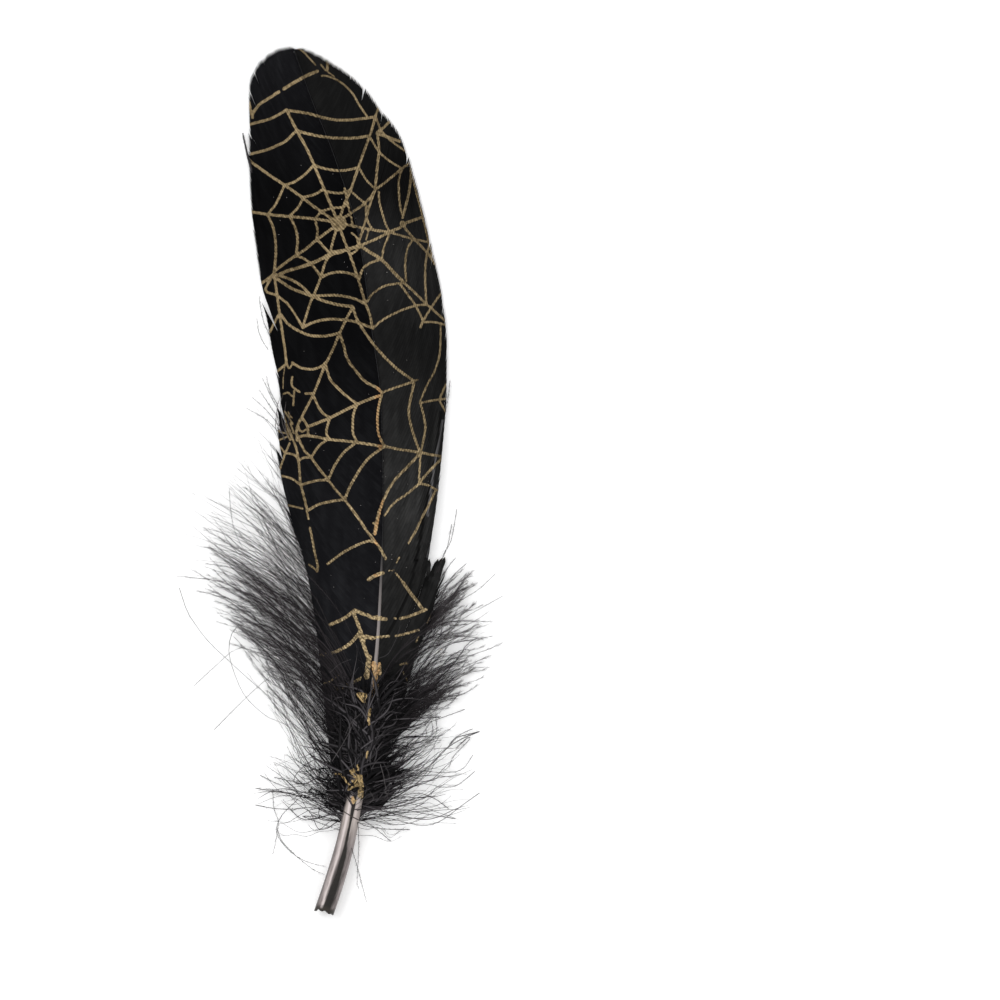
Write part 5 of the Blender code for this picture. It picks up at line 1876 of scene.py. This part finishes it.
# %% Finish of the shaft
HORN = ((0.12, 0.098, 0.095, 1), (0.34, 0.295, 0.288, 1))
HORN_BY_DOWN = (0.62, 0.55, 0.50, 1)
GROOVE_DARK_AND_REFLECTION = ((0.006, 0.0055, 0.005, 1), (0.026, 0.0225, 0.019, 1))
LEFT_PAINTED_SHADE = (0.05, 0.042, 0.041, 1)
LEFT_PAINTED_HIGHLIGHT, RIGHT_PAINTED_HIGHLIGHT = (0.68, 0.60, 0.585, 1), (0.60, 0.52, 0.49, 1)
RACHIS = ((0.15, 0.132, 0.126, 1), (0.34, 0.305, 0.295, 1))
DYED = ((0.006, 0.006, 0.007, 1), (0.02, 0.02, 0.021, 1))
CRACK_DARK, TORN_END_DARK_AND_BORE_SHADE = (0.04, 0.032, 0.028, 1), (0.03, 0.025, 0.02, 1)
CRACK_Y, CRACK_HALF = -64.0, 0.16
# The dark groove: its middle and its half width, across the quill, by y.
GROOVE_CENTRE = ((-84, 0.12), (-73, 0.18), (-67, 0.08), (-60, 0.04))
GROOVE_HALF = ((-84, 0.58), (-78, 0.50), (-73, 0.36), (-69, 0.17), (-60, 0.20))


def quill_colour(tree, across, place, streaks, speckle):
    """Horn: its dark groove, partly painted reflection, painted shade at the left and painted highlights."""
    wobble = plus(tree, across, times(tree, minus(tree, streaks, 0.5), 0.5))
    horn = blend(tree, step(tree, streaks, 0.25, 0.72), *HORN)
    horn = blend(tree, step(tree, place, -71.0, -64.0, 0.0, 0.45), horn, HORN_BY_DOWN)
    # The dark groove: partly the dark inside showing through, partly a painted dark reflection.
    groove = apart(tree, wobble, tone_along(tree, GROOVE_CENTRE))
    groove = calculate(tree, "DIVIDE", groove, tone_along(tree, GROOVE_HALF))
    horn = blend(tree, step(tree, groove, 1.35, 0.55), horn, blend(tree, speckle, *GROOVE_DARK_AND_REFLECTION))
    # Painted shade along the left edge of the quill.
    horn = blend(tree, step(tree, across, -0.74, -0.95, 0.0, 0.75), horn, LEFT_PAINTED_SHADE)
    # Painted highlights: a soft one left of the groove, and near the down a second on its right.
    left = step(tree, calculate(tree, "ABSOLUTE", plus(tree, wobble, 0.44)), 0.22, 0.02, 0.0, 0.85)
    horn = blend(tree, left, horn, LEFT_PAINTED_HIGHLIGHT)
    right = step(tree, apart(tree, wobble, 0.52), 0.20, 0.02, 0.0, 0.8)
    right = times(tree, right, step(tree, place, -67.5, -63.0))
    return blend(tree, right, horn, RIGHT_PAINTED_HIGHLIGHT)


def shaft_finish():
    made, tree, shader = new_finish("horn")
    across, place = mark(tree, "across"), mark(tree, "place")
    stretched = vector(tree, times(tree, across, 2.2), times(tree, place, 0.12))
    streaks = noise(tree, stretched, 1.6, 4.0, 0.6)
    speckle = noise(tree, position(tree), 1400.0, 3.0, 0.7)

    quill = quill_colour(tree, across, place, streaks, speckle)
    rachis = blend(tree, streaks, *RACHIS)
    colour = blend(tree, step(tree, place, -60.0, -54.0), quill, rachis)
    colour = blend(tree, step(tree, place, -30.0, -11.0), colour, blend(tree, streaks, *DYED))
    crack = apart(tree, plus(tree, place, times(tree, across, 0.55)), CRACK_Y)
    crack = step(tree, crack, CRACK_HALF, CRACK_HALF * 0.3)
    colour = blend(tree, crack, colour, CRACK_DARK)
    torn = step(tree, plus(tree, place, times(tree, speckle, 1.2)), -80.2, -81.3)
    # The bore inside is painted dark too, as painted shade in the hollow.
    torn = calculate(tree, "MAXIMUM", torn, mark(tree, "inner"))
    colour = blend(tree, torn, colour, TORN_END_DARK_AND_BORE_SHADE)

    looks = {"Deep": (0.15, 0.105, 0.055, 1), "Pale": (0.62, 0.49, 0.27, 1), "Wear And Glint": 0.6}
    marks = {"Inside": mark(tree, "paint"), "Rust": mark(tree, "rust"), "Ridge": 1.0}
    gold = place_group(tree, printed_gold, {**marks, **looks})
    satin = step(tree, place, -30.0, -11.0, 0.0, 0.35)
    height = plus(tree, times(tree, streaks, 0.6), gold.outputs["Height"])
    height = minus(tree, height, times(tree, crack, 1.5))
    feed(
        tree,
        shader,
        {
            "Base Color": blend(tree, gold.outputs["Mask"], colour, gold.outputs["Color"]),
            "Metallic": gold.outputs["Metal"],
            "Roughness": plus(tree, step(tree, streaks, 0.3, 0.7, 0.24, 0.40), satin),
            "Normal": bump(tree, height, 0.4, 0.00008),
            "Specular IOR Level": 0.25,
        },
    )
    return made


shaft.data.materials.append(shaft_finish())
print("shaft finished")

# %% [markdown]
# ## The down's finish
#
# Down is matt, with no gloss to speak of. It is dyed black where it is dense and mauve-grey
# where single strands stand apart. The mark called dark says which: 1 at the foot, and -1
# for the wisps, whose grey is lightened by painted sheen. The thicker dark strands get a
# painted highlight: all along a round strand, and along the middle of a plume, where the
# mark called soft is 1.

# %% Finish of the down
GREY = ((0.008, 0.007, 0.008, 1), (0.045, 0.040, 0.043, 1))
GREY_TIPS = (0.075, 0.066, 0.070, 1)
BLACK = ((0.0015, 0.0015, 0.002, 1), (0.008, 0.0075, 0.008, 1))
DOWN_PAINTED_HIGHLIGHT = (0.10, 0.092, 0.098, 1)
# Grey of the wisps, lightened by painted sheen.
PALE = ((0.045, 0.042, 0.045, 1), (0.11, 0.10, 0.10, 1))


def down_finish():
    made, tree, shader = new_finish("down")
    dark, share, strand = (mark(tree, name) for name in ("dark", "share", "strand"))
    grey = blend(tree, step(tree, share, 0.4, 1.0), blend(tree, strand, *GREY), GREY_TIPS)
    # Painted highlight on the thicker dark strands and along the middle of each plume.
    bright = times(tree, step(tree, strand, 0.6, 1.0), mark(tree, "soft"))
    black = blend(tree, bright, blend(tree, strand, *BLACK), DOWN_PAINTED_HIGHLIGHT)
    colour = blend(tree, step(tree, dark, 0.0, 1.0), grey, black)
    # The wisps: their own grey, lightened by painted sheen.
    colour = blend(tree, step(tree, dark, 0.0, -1.0), colour, blend(tree, strand, *PALE))
    looks = {"Ridge": 0.6, "Deep": (0.18, 0.11, 0.04, 1), "Pale": (0.80, 0.58, 0.28, 1)}
    gold = place_group(tree, printed_gold, {"Inside": mark(tree, "paint"), **looks})
    drips = times(tree, gold.outputs["Mask"], step(tree, strand, 0.35, 0.65))
    feed(
        tree,
        shader,
        {
            "Base Color": blend(tree, drips, colour, gold.outputs["Color"]),
            "Roughness": step(tree, strand, 0.0, 1.0, 0.75, 0.95),
            "Specular IOR Level": 0.10,
        },
    )
    return made


dust_finish, tree, shader = new_finish("dust")
feed(tree, shader, {"Base Color": (0.40, 0.38, 0.36, 1), "Roughness": 0.9})
dust.data.materials.append(dust_finish)
down = down_finish()
for piece in (left_down, right_down, crown_down, skirt_down, loose_hairs, sheen_wisps, dark_knots):
    piece.data.materials.append(down)
print("down finished")

# %% [markdown]
# ## Floor, light and camera
#
# The photograph is taken from straight above on white paper, in soft light. A large lamp at
# the upper left gives the weak shadow to the right of the quill, and a white world fills
# the rest. The paper glows a little, so it comes out as pure white as in the photograph.
# The standard view keeps white white and black black.

# %% Stage
FLOOR_SIZE = 3.0
FLOOR_LEVEL = -0.0002
VIEW_MIDDLE = Vector((0.0294, -0.0040, 0.0030))
VIEW_WIDTH = 0.190
LENS, SENSOR = 200.0, 36.0
LAMP_AT = Vector((-0.75, 0.55, 1.15))

scene = bpy.context.scene
scene.view_settings.view_transform = "Standard"

edge_at = FLOOR_SIZE / 2
ways = ((-1, -1), (1, -1), (1, 1), (-1, 1))
corners = [(x * edge_at, y * edge_at, FLOOR_LEVEL) for x, y in ways]
floor_mesh = bpy.data.meshes.new("floor")
floor_mesh.from_pydata(corners, [], [(0, 1, 2, 3)])
floor = bpy.data.objects.new("floor", floor_mesh)
SHOW.objects.link(floor)
paper, tree, shader = new_finish("paper")
tooth = noise(tree, position(tree), 300.0, 3.0)
feed(
    tree,
    shader,
    {
        "Base Color": blend(tree, tooth, (0.90, 0.90, 0.90, 1), (0.92, 0.92, 0.92, 1)),
        "Roughness": 0.9,
        "Specular IOR Level": 0.1,
        "Emission Color": (1, 1, 1, 1),
        "Emission Strength": 0.2,
    },
)
floor.data.materials.append(paper)

world = bpy.data.worlds.new("white room")
scene.world = world
world.use_nodes = True
sky = world.node_tree.nodes["Background"]
feed(world.node_tree, sky, {"Color": (1, 1, 1, 1), "Strength": 0.92})

lamp = bpy.data.lights.new("day lamp", "AREA")
lamp.shape = "DISK"
lamp.size = 0.7
lamp.energy = 6.0
lamp_object = bpy.data.objects.new("day lamp", lamp)
lamp_object.location = LAMP_AT
lamp_object.rotation_euler = (-LAMP_AT).to_track_quat("-Z", "Y").to_euler()
SHOW.objects.link(lamp_object)

camera_data = bpy.data.cameras.new("camera")
camera_data.lens = LENS
camera_data.sensor_width = SENSOR
camera_data.clip_start = 0.05
camera = bpy.data.objects.new("camera", camera_data)
distance = VIEW_WIDTH * LENS / SENSOR
camera.location = VIEW_MIDDLE + Vector((0, 0, distance))
camera.rotation_euler = (0, 0, 0)
SHOW.objects.link(camera)
scene.camera = camera
print("camera is", round(distance, 3), "m above the feather")
